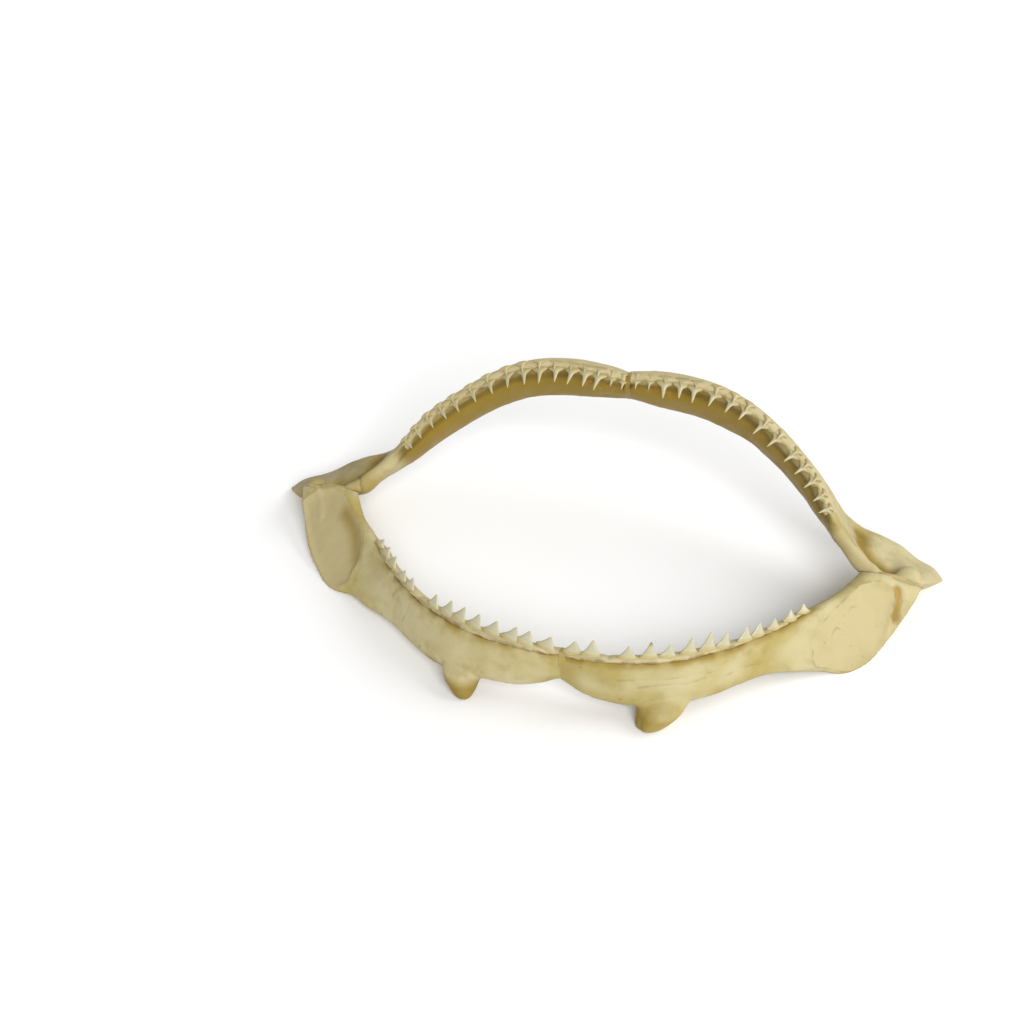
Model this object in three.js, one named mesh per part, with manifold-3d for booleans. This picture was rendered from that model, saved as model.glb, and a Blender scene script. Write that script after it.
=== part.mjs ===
// Dried jaw of a large requiem shark, gaping and lying belly-up, as a still display model.
// Millimetres, +Z up, Z = 0 is the floor. X runs across the jaw, Y from the snout to the throat.
// One half is described on the +X side and mirrored for the other.
import * as THREE from 'three';
import { mergeVertices } from 'three/addons/utils/BufferGeometryUtils.js';
import Module from 'manifold-3d';

const wasm = await Module();
wasm.setup();

// ---- driving dimensions ----
const JAW_TILT = 52;          // lean of the lower arch from the floor, degrees
const HINGE_Z = 30;           // height of the hinge line above the floor
const HINGE_X = 166;          // half the distance between the two hinges
const PLANE_Z = 29;           // where the lower arch plane meets the hinge line
const FIT_GAP = 0.3;          // clearance between parts that touch
const SYMPHYSIS_PAD = 1.6;    // thickness of the dried pad on the middle line
const HINGE_PAD = 2.4;        // thickness of the dried ligament in the hinge
const RING = 14;              // points round one section of cartilage
const STEPS = 2;              // sections between two stations
// Orbital process on each side: middle of the foot on the floor, long way, short way, and how
// strongly it spreads upwards.
const KNOB = {
  right: { at: [52.8, -118], long: 23.5, short: 15.5, flare: 1.4 },
  left: { at: [55.5, -121.8], long: 13, short: 9.5, flare: 2.2 },
};
// The ball of the jaw joint on each side: its middle and its half sizes.
const CONDYLE = {
  right: { at: [177, 6.5, 26.5], radii: [8.5, 6.5, 6.5] },
  left: { at: [178, 5, 23.5], radii: [8, 6.5, 6] },
};
const UPPER_TOOTH = { width: 10.5, depth: 4.2, height: 15.6, sink: 4.5, cusp: 0.58, set: 0.28 };
const LOWER_TOOTH = { width: 8.4, depth: 3.8, height: 11.0, sink: 3.5, cusp: 0.4, set: 0.45 };

// Stations from the middle line to the hinge. Each gives the four corners of the section:
// lip side of the tooth edge, tongue side of it, tongue side of the far edge, lip side of it,
// then how far the lip face is dished. The section is a soft oval inside those corners.
const UPPER = [
  [[1.1, -118, 41], [1.1, -108, 37], [1.1, -104, 18], [1.1, -117, 18], 0],
  [[14, -120, 42], [13, -109.5, 38], [13, -105, 13], [14, -121, 13], 0],
  [[30, -119, 42.5], [28, -108, 38], [27, -103, 10], [31, -123, 10.5], 0],
  [[57, -110.5, 41], [52, -100, 36.5], [51, -97, 9], [60, -119, 9], 0],
  [[79, -98, 39], [72, -88.5, 34.5], [70, -87, 8.5], [82, -106, 8.5], 0.5],
  [[95, -86, 37], [87, -78, 33], [84, -78, 8], [99, -90, 8], 1],
  [[108, -72, 34.5], [100, -65, 30.5], [98, -66, 7], [114, -77, 7], 1.5],
  [[118, -60, 33], [110, -53.5, 28.5], [110, -57, 5.5], [128, -70, 5], 2],
  [[127, -48, 32], [119, -41, 27], [125, -49, 4], [143, -63, 1], 3],
  [[137, -36.5, 32], [129, -30, 26], [143, -44, 1], [159, -56, -4], 3.5],
  [[148, -22.5, 33], [140, -15, 27], [160, -32, 4], [172, -38, 1], 3.5],
  [[158, -9, 35], [146, -2, 29], [171, -14, 10], [181, -20, 8], 3],
  [[166, 0, 36], [149, 7, 30], [178, 2, 16], [189, -2, 16], 2],
  [[172, 9, 37], [155, 14, 31], [181, 12, 20], [192, 9, 22], 0],
];
// The lower arch is given as x, distance up its own plane, distance out of it on the tooth side.
const LOWER = [
  [[1.1, 96, 0], [1.1, 84, 1], [1.1, 78, -24], [1.1, 95, -25], 0],
  [[20, 99, 1], [20, 85, 2], [19, 75, -26], [20, 97, -27], 0],
  [[38, 99, 1], [37, 85, 2], [36, 73.5, -26], [37, 96, -27], 0],
  [[57, 96, 1], [53, 82, 1], [51, 71.5, -26], [55, 92, -27], 0],
  [[73, 90, 1], [67, 78, 1], [64, 67.5, -26], [70, 86, -27], 0],
  [[87, 82, 1], [79, 71, 1], [76, 62, -26], [84, 79, -27], 0],
  [[99, 72.5, 1], [90, 63, 1], [88, 54, -26], [96, 71, -27], 0],
  [[110, 63, 1], [101, 54, 1], [99, 45, -26], [108, 61, -27], 0],
  [[119, 54, 1], [110, 45, 1], [109, 36, -26], [118, 52, -27], 0],
  [[126, 44, 1], [117, 36, 1], [118, 27, -26], [129, 42, -29], 0.5],
  [[132, 34, 1], [123, 28, 1], [127, 19, -27], [140, 31.5, -32], 2],
  [[140, 24, 1], [130, 18, 1], [137, 12, -28], [152.5, 26.5, -36], 4],
  [[149, 15, 1], [137, 9, 1], [149, 5, -30], [166, 22, -40], 6],
  [[158, 7, 1], [142, 1, 1], [160, 0, -33], [178, 16, -43], 7],
  [[169, 2, 3], [150, -6, 1], [170, -4, -36], [188, 9, -45], 6],
  [[181, 1, 2], [163, -9, 0], [182, -9, -38], [199, 5, -46], 4],
  [[189, -2, -8], [176, -10, -10], [190, -11, -38], [206, -2, -46], 2],
];
const UPPER_TEETH_X = [7, 17.5, 27.5, 37, 48, 58, 68, 77, 86, 95, 102.5, 110.5, 117.5, 124];
const LOWER_TEETH_X = [6, 14, 22, 31, 40, 50, 59.5, 68.5, 78, 87, 96, 104, 111.5, 118.5, 124.5, 129];
const LOST_TEETH = { upper_right: [2], upper_left: [8], lower_right: [], lower_left: [] };

// ---- helpers ----
const rad = (deg) => deg * Math.PI / 180;
const vec = (p) => new THREE.Vector3(p[0], p[1], p[2]);
const UP_PLANE = new THREE.Vector3(0, Math.cos(rad(JAW_TILT)), Math.sin(rad(JAW_TILT)));
const OUT_PLANE = new THREE.Vector3(0, -Math.sin(rad(JAW_TILT)), Math.cos(rad(JAW_TILT)));
const lowerPoint = ([x, m, n]) => new THREE.Vector3(x, 0, PLANE_Z)
  .addScaledVector(UP_PLANE, m).addScaledVector(OUT_PLANE, n);

// A closed solid from points and triangles, mirrored when side is -1, faces turned outwards.
function solid(points, tris, side) {
  const pts = points.map((p) => new THREE.Vector3(p.x * side, p.y, p.z));
  let volume = 0;
  for (const [a, b, c] of tris) volume += pts[a].dot(pts[b].clone().cross(pts[c]));
  const order = volume > 0 ? tris : tris.map(([a, b, c]) => [a, c, b]);
  return new wasm.Manifold(new wasm.Mesh({
    numProp: 3,
    vertProperties: Float32Array.from(pts.flatMap((p) => [p.x, p.y, p.z])),
    triVerts: Uint32Array.from(order.flat()),
  }));
}

// A skin over rings that all have the same number of points, closed at both ends.
function skin(rings, side) {
  const n = rings[0].length;
  const points = rings.flat();
  const tris = [];
  for (let i = 0; i + 1 < rings.length; i += 1) {
    for (let k = 0; k < n; k += 1) {
      const a = i * n + k, b = i * n + (k + 1) % n;
      tris.push([a, b, b + n], [a, b + n, a + n]);
    }
  }
  const middle = (ring) => ring.reduce((s, p) => s.add(p), new THREE.Vector3())
    .divideScalar(n);
  const head = points.length, tail = head + 1, last = (rings.length - 1) * n;
  points.push(middle(rings[0]), middle(rings[rings.length - 1]));
  for (let k = 0; k < n; k += 1) {
    tris.push([head, (k + 1) % n, k], [tail, last + k, last + (k + 1) % n]);
  }
  return solid(points, tris, side);
}

// The four corner curves of a cartilage, and the section at a place t along it.
function cartilage(stations, place, warp, rise, up) {
  const shift = new THREE.CatmullRomCurve3(warp.map(vec));
  const lift = new THREE.CatmullRomCurve3(rise.map((h, i) => vec([i * 10, h, 0])));
  const moved = (s, i, c) => {
    const t = i / (stations.length - 1);
    const d = shift.getPoint(t);
    const k = c < 2 ? 0.3 : 1;
    const at = [s[c][0] + k * d.x, s[c][1] + k * d.y, s[c][2] + k * d.z];
    if (c < 2) at[up] += lift.getPoint(t).y;
    return place(at);
  };
  const curves = [0, 1, 2, 3].map((c) => new THREE.CatmullRomCurve3(
    stations.map((s, i) => moved(s, i, c)), false, 'centripetal'));
  const dish = (t) => {
    const f = t * (stations.length - 1);
    const i = Math.min(Math.floor(f), stations.length - 2);
    return stations[i][4] + (stations[i + 1][4] - stations[i][4]) * (f - i);
  };
  return { corners: (t) => curves.map((c) => c.getPoint(t)), dish, count: stations.length };
}

function section(body, t, power = 3) {
  const [tipLip, tipTongue, farTongue, farLip] = body.corners(t);
  const ring = [];
  for (let k = 0; k < RING; k += 1) {
    const a = 2 * Math.PI * (k + 0.5) / RING;
    const soft = (v) => Math.sign(v) * Math.abs(v) ** (2 / power);
    const p = soft(Math.cos(a)), q = soft(Math.sin(a));
    const u = (p + 1) / 2, v = (q + 1) / 2;
    const low = farLip.clone().lerp(farTongue, u);
    const high = tipLip.clone().lerp(tipTongue, u);
    const point = low.lerp(high, v);
    if (p < 0) {
      const inward = farTongue.clone().sub(farLip).normalize();
      point.addScaledVector(inward, body.dish(t) * (1 - q * q) * Math.min(1, -p * 1.5));
    }
    ring.push(point);
  }
  return ring;
}

function bar(body, side) {
  const n = (body.count - 1) * STEPS;
  return skin(Array.from({ length: n + 1 }, (_, i) => section(body, i / n)), side);
}

// Drying has warped the two sides unequally: shifts of the far edge, hinge end last, and how far
// the tooth edge has risen.
const WARP = {
  upper_right: [[0, -0.8, -0.8], [0, -0.2, -0.2], [0, 0.8, 0.8], [0, 0.4, 0.3], [0, 0, 0],
    [0, 0, 0], [0, 0, 0]],
  upper_left: [[0, 0, 0], [0, 0.2, 0.5], [0, -4.9, -2.6], [0.7, -6, -1.8], [0.6, -2, 1.2],
    [1.9, -3, 0], [2, -1, 0]],
  lower_right: [[0, 0, 0], [0, -1.6, -0.4], [0, -1, 0], [0, 0.6, 0], [0, 1.4, 0.6],
    [0.5, 5.4, 1.6], [-2.4, 3.6, -5]],
  lower_left: [[0, 0, 0], [0, 0, 0], [0, -1, -1], [0, -0.4, -0.4], [0, 0.8, 0],
    [0.5, 1, 0.8], [3, -3.7, 5]],
};

const RISE = {
  upper_right: [0, 0, 0.6, 2, 2.6, 1.4, 0],
  upper_left: [0, 0, -0.6, 0, 0, 0, 0],
  lower_right: [1.2, 1.4, 0.8, 0.4, -0.8, 0, 0],
  lower_left: [0, 0.8, 0.3, 0.3, 0, 0, 0],
};

// Where the tooth edge passes a given x, with the directions a tooth is set by.
function seat(body, x, set) {
  let t = 0;
  while (t < 1 && body.corners(t)[0].x < x) t += 0.002;
  const [lip, tongue, farTongue, farLip] = body.corners(t);
  const ahead = body.corners(Math.min(t + 0.01, 1))[0];
  return {
    base: lip.clone().lerp(tongue, set),
    along: ahead.sub(lip).normalize(),
    inward: tongue.clone().sub(lip).normalize(),
    up: lip.clone().add(tongue).sub(farLip).sub(farTongue).normalize(),
  };
}

// A bladed tooth: a lens-shaped root, a shoulder and a point that leans away from the middle.
function tooth(body, x, size, lean, side) {
  const { base, along, inward, up } = seat(body, x, size.set);
  const foot = base.clone().addScaledVector(up, -size.sink);
  const lens = (at, w, d) => [[1, 0], [0.5, 1], [-0.5, 1], [-1, 0], [-0.5, -1], [0.5, -1]]
    .map(([a, b]) => at.clone().addScaledVector(along, a * w / 2)
      .addScaledVector(inward, b * d / 2));
  const point = foot.clone().addScaledVector(up, size.height)
    .addScaledVector(inward, lean.inward).addScaledVector(along, lean.away);
  const at = (f) => foot.clone().lerp(point, f);
  return skin([
    lens(foot, size.width, size.depth),
    lens(at(size.sink / size.height), size.width, size.depth),
    lens(at(0.62), size.width * size.cusp, size.depth * 0.7),
    lens(at(0.99), size.width * 0.06, size.depth * 0.12),
  ], side);
}

function teeth(body, list, size, side, lost, lean) {
  return list.map((x, i) => ({ x, i })).filter(({ i }) => !lost.includes(i)).map(({ x, i }) => {
    const s = i / list.length;
    const scale = 1 - 0.35 * s ** 2.5;
    return tooth(body, x, { ...size, width: size.width * (1 - 0.25 * s),
      height: size.sink + (size.height - size.sink) * scale }, lean(s), side);
  });
}

// A block that fills everything on one side of a plane.
function halfSpace(point, normal, side) {
  const size = 600;
  const box = mergeVertices((() => {
    const g = new THREE.BoxGeometry(size, size, size);
    g.deleteAttribute('normal');
    g.deleteAttribute('uv');
    return g;
  })());
  box.applyQuaternion(new THREE.Quaternion().setFromUnitVectors(
    new THREE.Vector3(0, 0, 1), normal));
  const shift = point.clone().addScaledVector(normal, size / 2);
  box.translate(shift.x, shift.y, shift.z);
  const pos = box.getAttribute('position');
  const points = Array.from({ length: pos.count }, (_, i) =>
    new THREE.Vector3().fromBufferAttribute(pos, i));
  const index = Array.from(box.getIndex().array);
  const tris = [];
  for (let i = 0; i < index.length; i += 3) tris.push(index.slice(i, i + 3));
  return solid(points, tris, side);
}

// A rounded lump: rings of an ellipsoid about a centre, long along its first axis.
function lump(centre, radii, axes, side, round = 10, levels = 6) {
  const rings = [];
  for (let i = 0; i <= levels; i += 1) {
    const a = Math.PI * (0.06 + 0.88 * i / levels) - Math.PI / 2;
    rings.push(Array.from({ length: round }, (_, k) => {
      const b = 2 * Math.PI * k / round;
      return centre.clone().addScaledVector(axes[0], radii[0] * Math.sin(a))
        .addScaledVector(axes[1], radii[1] * Math.cos(a) * Math.cos(b))
        .addScaledVector(axes[2], radii[2] * Math.cos(a) * Math.sin(b));
    }));
  }
  return skin(rings, side);
}

// The orbital process: a tapered peg with a flat oval foot, broader where it leaves the bar.
function knob({ at, long, short, flare }, side) {
  const far = vec([0.515, 0.857, 0]);
  const cross = vec([0.857, -0.515, 0]);
  const levels = [[-1, 0, 0], [1.5, 0.6, 0.4], [6, 2, 1.8], [10, 4, 4], [15, 5, 9], [22, 2, 15]];
  return skin(levels.map(([z, grow, back]) => Array.from({ length: 14 }, (_, k) => {
    const a = 2 * Math.PI * k / 14;
    return vec([at[0] + back * 0.5, at[1] + back, z])
      .addScaledVector(far, Math.cos(a) * (long + grow * flare) / 2)
      .addScaledVector(cross, Math.sin(a) * (short + Math.min(grow * flare, 7)) / 2);
  })), side);
}

const joined = (parts) => parts.reduce((a, b) => a.add(b));

// ---- the jaw ----
const hingePoint = vec([HINGE_X, 0, HINGE_Z]);
const hingeNormal = vec([0, 0.848, 0.53]).normalize();
const floorCut = (side) => halfSpace(vec([0, 0, 0]), vec([0, 0, -1]), side);
const beyond = (offset, toward, side) => halfSpace(
  hingePoint.clone().addScaledVector(hingeNormal, offset),
  hingeNormal.clone().multiplyScalar(toward), side);

const bodies = {
  upper_right: cartilage(UPPER, vec, WARP.upper_right, RISE.upper_right, 2),
  upper_left: cartilage(UPPER, vec, WARP.upper_left, RISE.upper_left, 2),
  lower_right: cartilage(LOWER, lowerPoint, WARP.lower_right, RISE.lower_right, 1),
  lower_left: cartilage(LOWER, lowerPoint, WARP.lower_left, RISE.lower_left, 1),
};

function upperHalf(side, hand) {
  const name = `upper_${hand}`, shape = bodies[name];
  const body = joined([bar(shape, side), knob(KNOB[hand], side),
    ...teeth(shape, UPPER_TEETH_X, UPPER_TOOTH, side, LOST_TEETH[name],
      (s) => ({ inward: 2.5 * (1 - s), away: 1.0 + 2.5 * s }))]);
  return body.subtract(beyond(-HINGE_PAD / 2 - FIT_GAP, 1, side)).subtract(floorCut(side));
}

function lowerHalf(side, hand) {
  const name = `lower_${hand}`, shape = bodies[name];
  const condyle = lump(vec(CONDYLE[hand].at), CONDYLE[hand].radii,
    [vec([1, 0, 0]), vec([0, 1, 0]), vec([0, 0, 1])], side);
  const body = joined([bar(shape, side), condyle,
    ...teeth(shape, LOWER_TEETH_X, LOWER_TOOTH, side, LOST_TEETH[name],
      (s) => ({ inward: 9 - 3 * s, away: 0.5 + 1.5 * s }))]);
  return body.subtract(beyond(HINGE_PAD / 2 + FIT_GAP, -1, side)).subtract(floorCut(side));
}

// Dried ligament packed in the hinge, and the pads that hold the two sides together in front.
function hingeLigament(side) {
  const ball = lump(vec([171, 3, 27]), [17, 9, 9],
    [vec([0.93, 0.1, -0.35]).normalize(), hingeNormal,
      vec([0.93, 0.1, -0.35]).normalize().cross(hingeNormal)], side, 12, 6);
  return ball.subtract(beyond(HINGE_PAD / 2, 1, side)).subtract(beyond(-HINGE_PAD / 2, -1, side));
}

function symphysisPad(body) {
  const flat = section(body, 0, 2.6);
  const mid = flat.reduce((s, p) => s.add(p), new THREE.Vector3()).divideScalar(flat.length);
  return skin([-1, 1].map((d) => flat.map((p) => {
    const q = mid.clone().lerp(p, 0.94);
    q.x = d * SYMPHYSIS_PAD / 2;
    return q;
  })), 1);
}

const cartilageSkin = new THREE.MeshStandardMaterial({ color: 0xd9cd9a, roughness: 0.55 });
const ligamentSkin = new THREE.MeshStandardMaterial({ color: 0xb98a4a, roughness: 0.65 });
cartilageSkin.name = 'cartilage';
ligamentSkin.name = 'ligament';

const built = [
  ['upper_jaw_right', upperHalf(1, 'right'), cartilageSkin],
  ['upper_jaw_left', upperHalf(-1, 'left'), cartilageSkin],
  ['lower_jaw_right', lowerHalf(1, 'right'), cartilageSkin],
  ['lower_jaw_left', lowerHalf(-1, 'left'), cartilageSkin],
  ['hinge_ligament_right', hingeLigament(1), ligamentSkin],
  ['hinge_ligament_left', hingeLigament(-1), ligamentSkin],
  ['upper_symphysis', symphysisPad(bodies.upper_right), ligamentSkin],
  ['lower_symphysis', symphysisPad(bodies.lower_right), ligamentSkin],
];

const jaw = new THREE.Group();
jaw.name = 'shark_jaw';
for (const [name, body, material] of built) {
  const made = body.getMesh();
  const geometry = new THREE.BufferGeometry();
  const stride = made.numProp;
  const flat = new Float32Array(made.triVerts.length * 3);
  made.triVerts.forEach((v, i) => {
    for (let c = 0; c < 3; c += 1) flat[i * 3 + c] = made.vertProperties[v * stride + c];
  });
  geometry.setAttribute('position', new THREE.BufferAttribute(flat, 3));
  geometry.computeVertexNormals();
  const mesh = new THREE.Mesh(geometry, material);
  mesh.name = name;
  jaw.add(mesh);
}

// Centre the jaw over the origin, lowest point on the floor.
const box = new THREE.Box3().setFromObject(jaw);
const centre = box.getCenter(new THREE.Vector3());
for (const mesh of jaw.children) mesh.geometry.translate(-centre.x, -centre.y, -box.min.z);

export default jaw;
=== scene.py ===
"""Dried shark jaw, gaping and lying belly-up: detailed surfaces, finishes, studio stage and camera."""
import math
import random

import bmesh
import bpy
import numpy as np
from mathutils import Matrix, Vector, kdtree, noise


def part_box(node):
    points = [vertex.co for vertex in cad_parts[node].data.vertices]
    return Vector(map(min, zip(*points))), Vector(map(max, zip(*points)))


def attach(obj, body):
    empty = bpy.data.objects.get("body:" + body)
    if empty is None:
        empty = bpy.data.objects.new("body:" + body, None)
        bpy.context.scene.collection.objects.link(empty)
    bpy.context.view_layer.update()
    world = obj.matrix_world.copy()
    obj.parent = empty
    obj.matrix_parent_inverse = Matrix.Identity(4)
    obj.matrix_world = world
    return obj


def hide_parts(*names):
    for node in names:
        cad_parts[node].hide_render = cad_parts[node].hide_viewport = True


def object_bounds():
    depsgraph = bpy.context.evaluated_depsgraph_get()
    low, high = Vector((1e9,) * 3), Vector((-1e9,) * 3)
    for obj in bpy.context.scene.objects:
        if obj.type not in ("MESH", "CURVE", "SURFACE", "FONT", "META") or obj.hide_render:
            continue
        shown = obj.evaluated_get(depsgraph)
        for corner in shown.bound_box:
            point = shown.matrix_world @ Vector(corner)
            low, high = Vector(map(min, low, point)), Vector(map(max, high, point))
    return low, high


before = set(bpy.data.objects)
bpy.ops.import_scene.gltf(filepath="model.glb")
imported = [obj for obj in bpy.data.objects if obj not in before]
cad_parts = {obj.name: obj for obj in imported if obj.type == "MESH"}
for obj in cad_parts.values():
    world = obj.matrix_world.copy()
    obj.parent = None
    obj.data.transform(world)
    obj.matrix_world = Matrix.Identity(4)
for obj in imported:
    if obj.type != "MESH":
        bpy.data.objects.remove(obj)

bl_info = {
    "name": "Dried Shark Jaw",
    "version": (1, 0, 0),
    "blender": (4, 5, 0),
    "location": "3D View > Sidebar > Shark Jaw",
    "description": "Builds a dried, gaping shark jaw with its teeth, ligaments, stage and camera",
    "category": "Add Mesh",
}

CAD_BOX = [list(corner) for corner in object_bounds()]
MM = 0.001

# ---- the frame of the jaw ----
# Shapes are drawn in millimetres on the +X side, with the hinge line at Y = 0 and the middle line
# at X = 0, then mirrored where needed and moved to their place in the CAD frame.
MIDLINE_X = sum(corner[0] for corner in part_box("upper_symphysis")) / 2 / MM
HINGE_Y = 25.774
HINGE = np.array([166.0, 0.0, 30.0])
HINGE_NORMAL = np.array([0.0, 0.848, 0.53])
HINGE_NORMAL /= np.linalg.norm(HINGE_NORMAL)
HINGE_HALF_GAP = 0.2
PAD_HALF = 1.2
LOWER_TILT = math.radians(52)
LOWER_Z = 29.0
UP_PLANE = np.array([0.0, math.cos(LOWER_TILT), math.sin(LOWER_TILT)])
OUT_PLANE = np.array([0.0, -math.sin(LOWER_TILT), math.cos(LOWER_TILT)])
SIDES = (("right", 1), ("left", -1))

# Stations from the middle line to the hinge: the four corners of the section (lip side of the
# tooth edge, tongue side of it, tongue side of the far edge, lip side of it) and the lip dish.
UPPER = [
    [[1.1, -118, 41], [1.1, -108, 37], [1.1, -104, 18], [1.1, -117, 18], 0],
    [[14, -120, 42], [13, -109.5, 38], [13, -105, 13], [14, -121, 13], 0],
    [[30, -119, 42.5], [28, -108, 38], [27, -103, 10], [31, -123, 10.5], 0],
    [[57, -110.5, 41], [52, -100, 36.5], [51, -97, 9], [60, -119, 9], 0],
    [[79, -98, 39], [72, -88.5, 34.5], [70, -87, 8.5], [82, -106, 8.5], 0.5],
    [[95, -86, 37], [87, -78, 33], [84, -78, 8], [99, -90, 8], 1],
    [[108, -72, 34.5], [100, -65, 30.5], [98, -66, 7], [114, -77, 7], 1.5],
    [[118, -60, 33], [110, -53.5, 28.5], [110, -57, 5.5], [128, -70, 5], 2],
    [[127, -48, 32], [119, -41, 27], [125, -49, 4], [143, -63, 1], 3],
    [[137, -36.5, 32], [129, -30, 26], [143, -44, 1], [159, -56, -4], 3.5],
    [[148, -22.5, 33], [140, -15, 27], [160, -32, 4], [172, -38, 1], 3.5],
    [[158, -9, 35], [146, -2, 29], [171, -14, 10], [181, -20, 8], 3],
    [[166, 0, 36], [149, 7, 30], [178, 2, 16], [189, -2, 16], 2],
    [[172, 9, 37], [155, 14, 31], [181, 12, 20], [192, 9, 22], 0],
]
# The lower arch: x, distance up its own leaning plane, distance out of it on the tooth side.
LOWER = [
    [[1.1, 96, 0], [1.1, 84, 1], [1.1, 78, -24], [1.1, 95, -25], 0],
    [[20, 99, 1], [20, 85, 2], [19, 75, -26], [20, 97, -27], 0],
    [[38, 99, 1], [37, 85, 2], [36, 73.5, -26], [37, 96, -27], 0],
    [[57, 96, 1], [53, 82, 1], [51, 71.5, -26], [55, 92, -27], 0],
    [[73, 90, 1], [67, 78, 1], [64, 67.5, -26], [70, 86, -27], 0],
    [[87, 82, 1], [79, 71, 1], [76, 62, -26], [84, 79, -27], 0],
    [[99, 72.5, 1], [90, 63, 1], [88, 54, -26], [96, 71, -27], 0],
    [[110, 63, 1], [101, 54, 1], [99, 45, -26], [108, 61, -27], 0],
    [[119, 54, 1], [110, 45, 1], [109, 36, -26], [118, 52, -27], 0],
    [[126, 44, 1], [117, 36, 1], [118, 27, -26], [129, 42, -29], 0.5],
    [[132, 34, 1], [123, 28, 1], [127, 19, -27], [140, 31.5, -32], 2],
    [[140, 24, 1], [130, 18, 1], [137, 12, -28], [152.5, 26.5, -36], 4],
    [[149, 15, 1], [137, 9, 1], [149, 5, -30], [166, 22, -40], 6],
    [[158, 7, 1], [142, 1, 1], [160, 0, -33], [178, 16, -43], 7],
    [[169, 2, 3], [150, -6, 1], [170, -4, -36], [188, 9, -45], 6],
    [[181, 1, 2], [163, -9, 0], [182, -9, -38], [199, 5, -46], 4],
    [[189, -2, -8], [176, -10, -10], [190, -11, -38], [206, -2, -46], 2],
]
WARP = {
    "upper_right": [[0, -0.8, -0.8], [0, -0.2, -0.2], [0, 0.8, 0.8], [0, 0.4, 0.3], [0, 0, 0],
                    [0, 0, 0], [0, 0, 0]],
    "upper_left": [[0, 0, 0], [0, 0.2, 0.5], [0, -4.9, -2.6], [0.7, -6, -1.8], [0.6, -2, 1.2],
                   [1.9, -3, 0], [2, -1, 0]],
    "lower_right": [[0, 0, 0], [0, -1.6, -0.4], [0, -1, 0], [0, 0.6, 0], [0, 1.4, 0.6],
                    [0.5, 5.4, 1.6], [-2.4, 3.6, -5]],
    "lower_left": [[0, 0, 0], [0, 0, 0], [0, -1, -1], [0, -0.4, -0.4], [0, 0.8, 0],
                   [0.5, 1, 0.8], [3, -3.7, 5]],
}
RISE = {
    "upper_right": [0, 0, 0.6, 2, 2.6, 1.4, 0],
    "upper_left": [0, 0, -0.6, 0, 0, 0, 0],
    "lower_right": [1.2, 1.4, 0.8, 0.4, -0.8, 0, 0],
    "lower_left": [0, 0.8, 0.3, 0.3, 0, 0, 0],
}
KNOB = {
    "right": {"at": (52.6, -117.7), "long": 23.5, "short": 15.5, "flare": 1.4,
              "splay": 0.8, "slide": 0.6},
    "left": {"at": (55.5, -121.5), "long": 13.0, "short": 9.5, "flare": 2.2,
             "splay": 0.8, "slide": -0.3},
}
# Levels of a knob from the floor up: height, growth, how far back it lies, splay.
KNOB_LEVELS = ((0.2, -1.5, 0.2, 0), (1.0, 0, 0.3, 0.3), (3, 0.8, 0.9, 1.2), (6, 1.8, 2.0, 2.2),
               (10, 3.5, 4.5, 3.2), (14, 4.5, 9.5, 3.0), (19, 0, 15, 0.6), (24, -4, 19, 0))
KNOB_FAR, KNOB_ACROSS = np.array([0.515, 0.857, 0]), np.array([0.857, -0.515, 0])
KNOB_AROUND = 28
KNOB_MOST_GROWTH = 7
CONDYLE = {
    "right": {"at": (177, 6.5, 26.5), "radii": (8.5, 6.5, 6.5)},
    "left": {"at": (178, 5, 23.5), "radii": (8, 6.5, 6)},
}
# Distance of each tooth from the middle line, and the places whose tooth is lost.
SEATS = {
    "upper_right": (6, 16.5, 26.5, 37, 49, 59, 70.2, 80, 88, 99, 105.2, 113, 121, 127.5),
    "upper_left": (9.8, 22.3, 31, 42.5, 54.3, 65, 73, 83, 93, 101, 107.5, 117, 123.5, 129),
    "lower_right": (5.5, 13.5, 22, 32, 41, 54, 65.5, 75, 87, 96.5, 107, 114, 120.5, 126, 130.5),
    "lower_left": (2.5, 9, 17, 25, 33.5, 44, 54.5, 65, 75, 86, 96, 105.5, 112.5, 119, 125, 130),
}
LOST_TEETH = {"upper_right": (2,), "upper_left": (8,)}
# Teeth that stand taller or are worn shorter than their place in the row gives.
TALLNESS = {
    ("upper_teeth_right", 1): 1.2, ("upper_teeth_right", 3): 0.78, ("upper_teeth_right", 4): 0.92,
    ("upper_teeth_right", 5): 0.80, ("upper_teeth_right", 7): 1.15, ("upper_teeth_right", 8): 1.12,
    ("upper_teeth_right", 9): 1.12, ("upper_teeth_right", 10): 1.1,
}
DARK_TIPS = {("upper_teeth_right", 4)}


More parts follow.
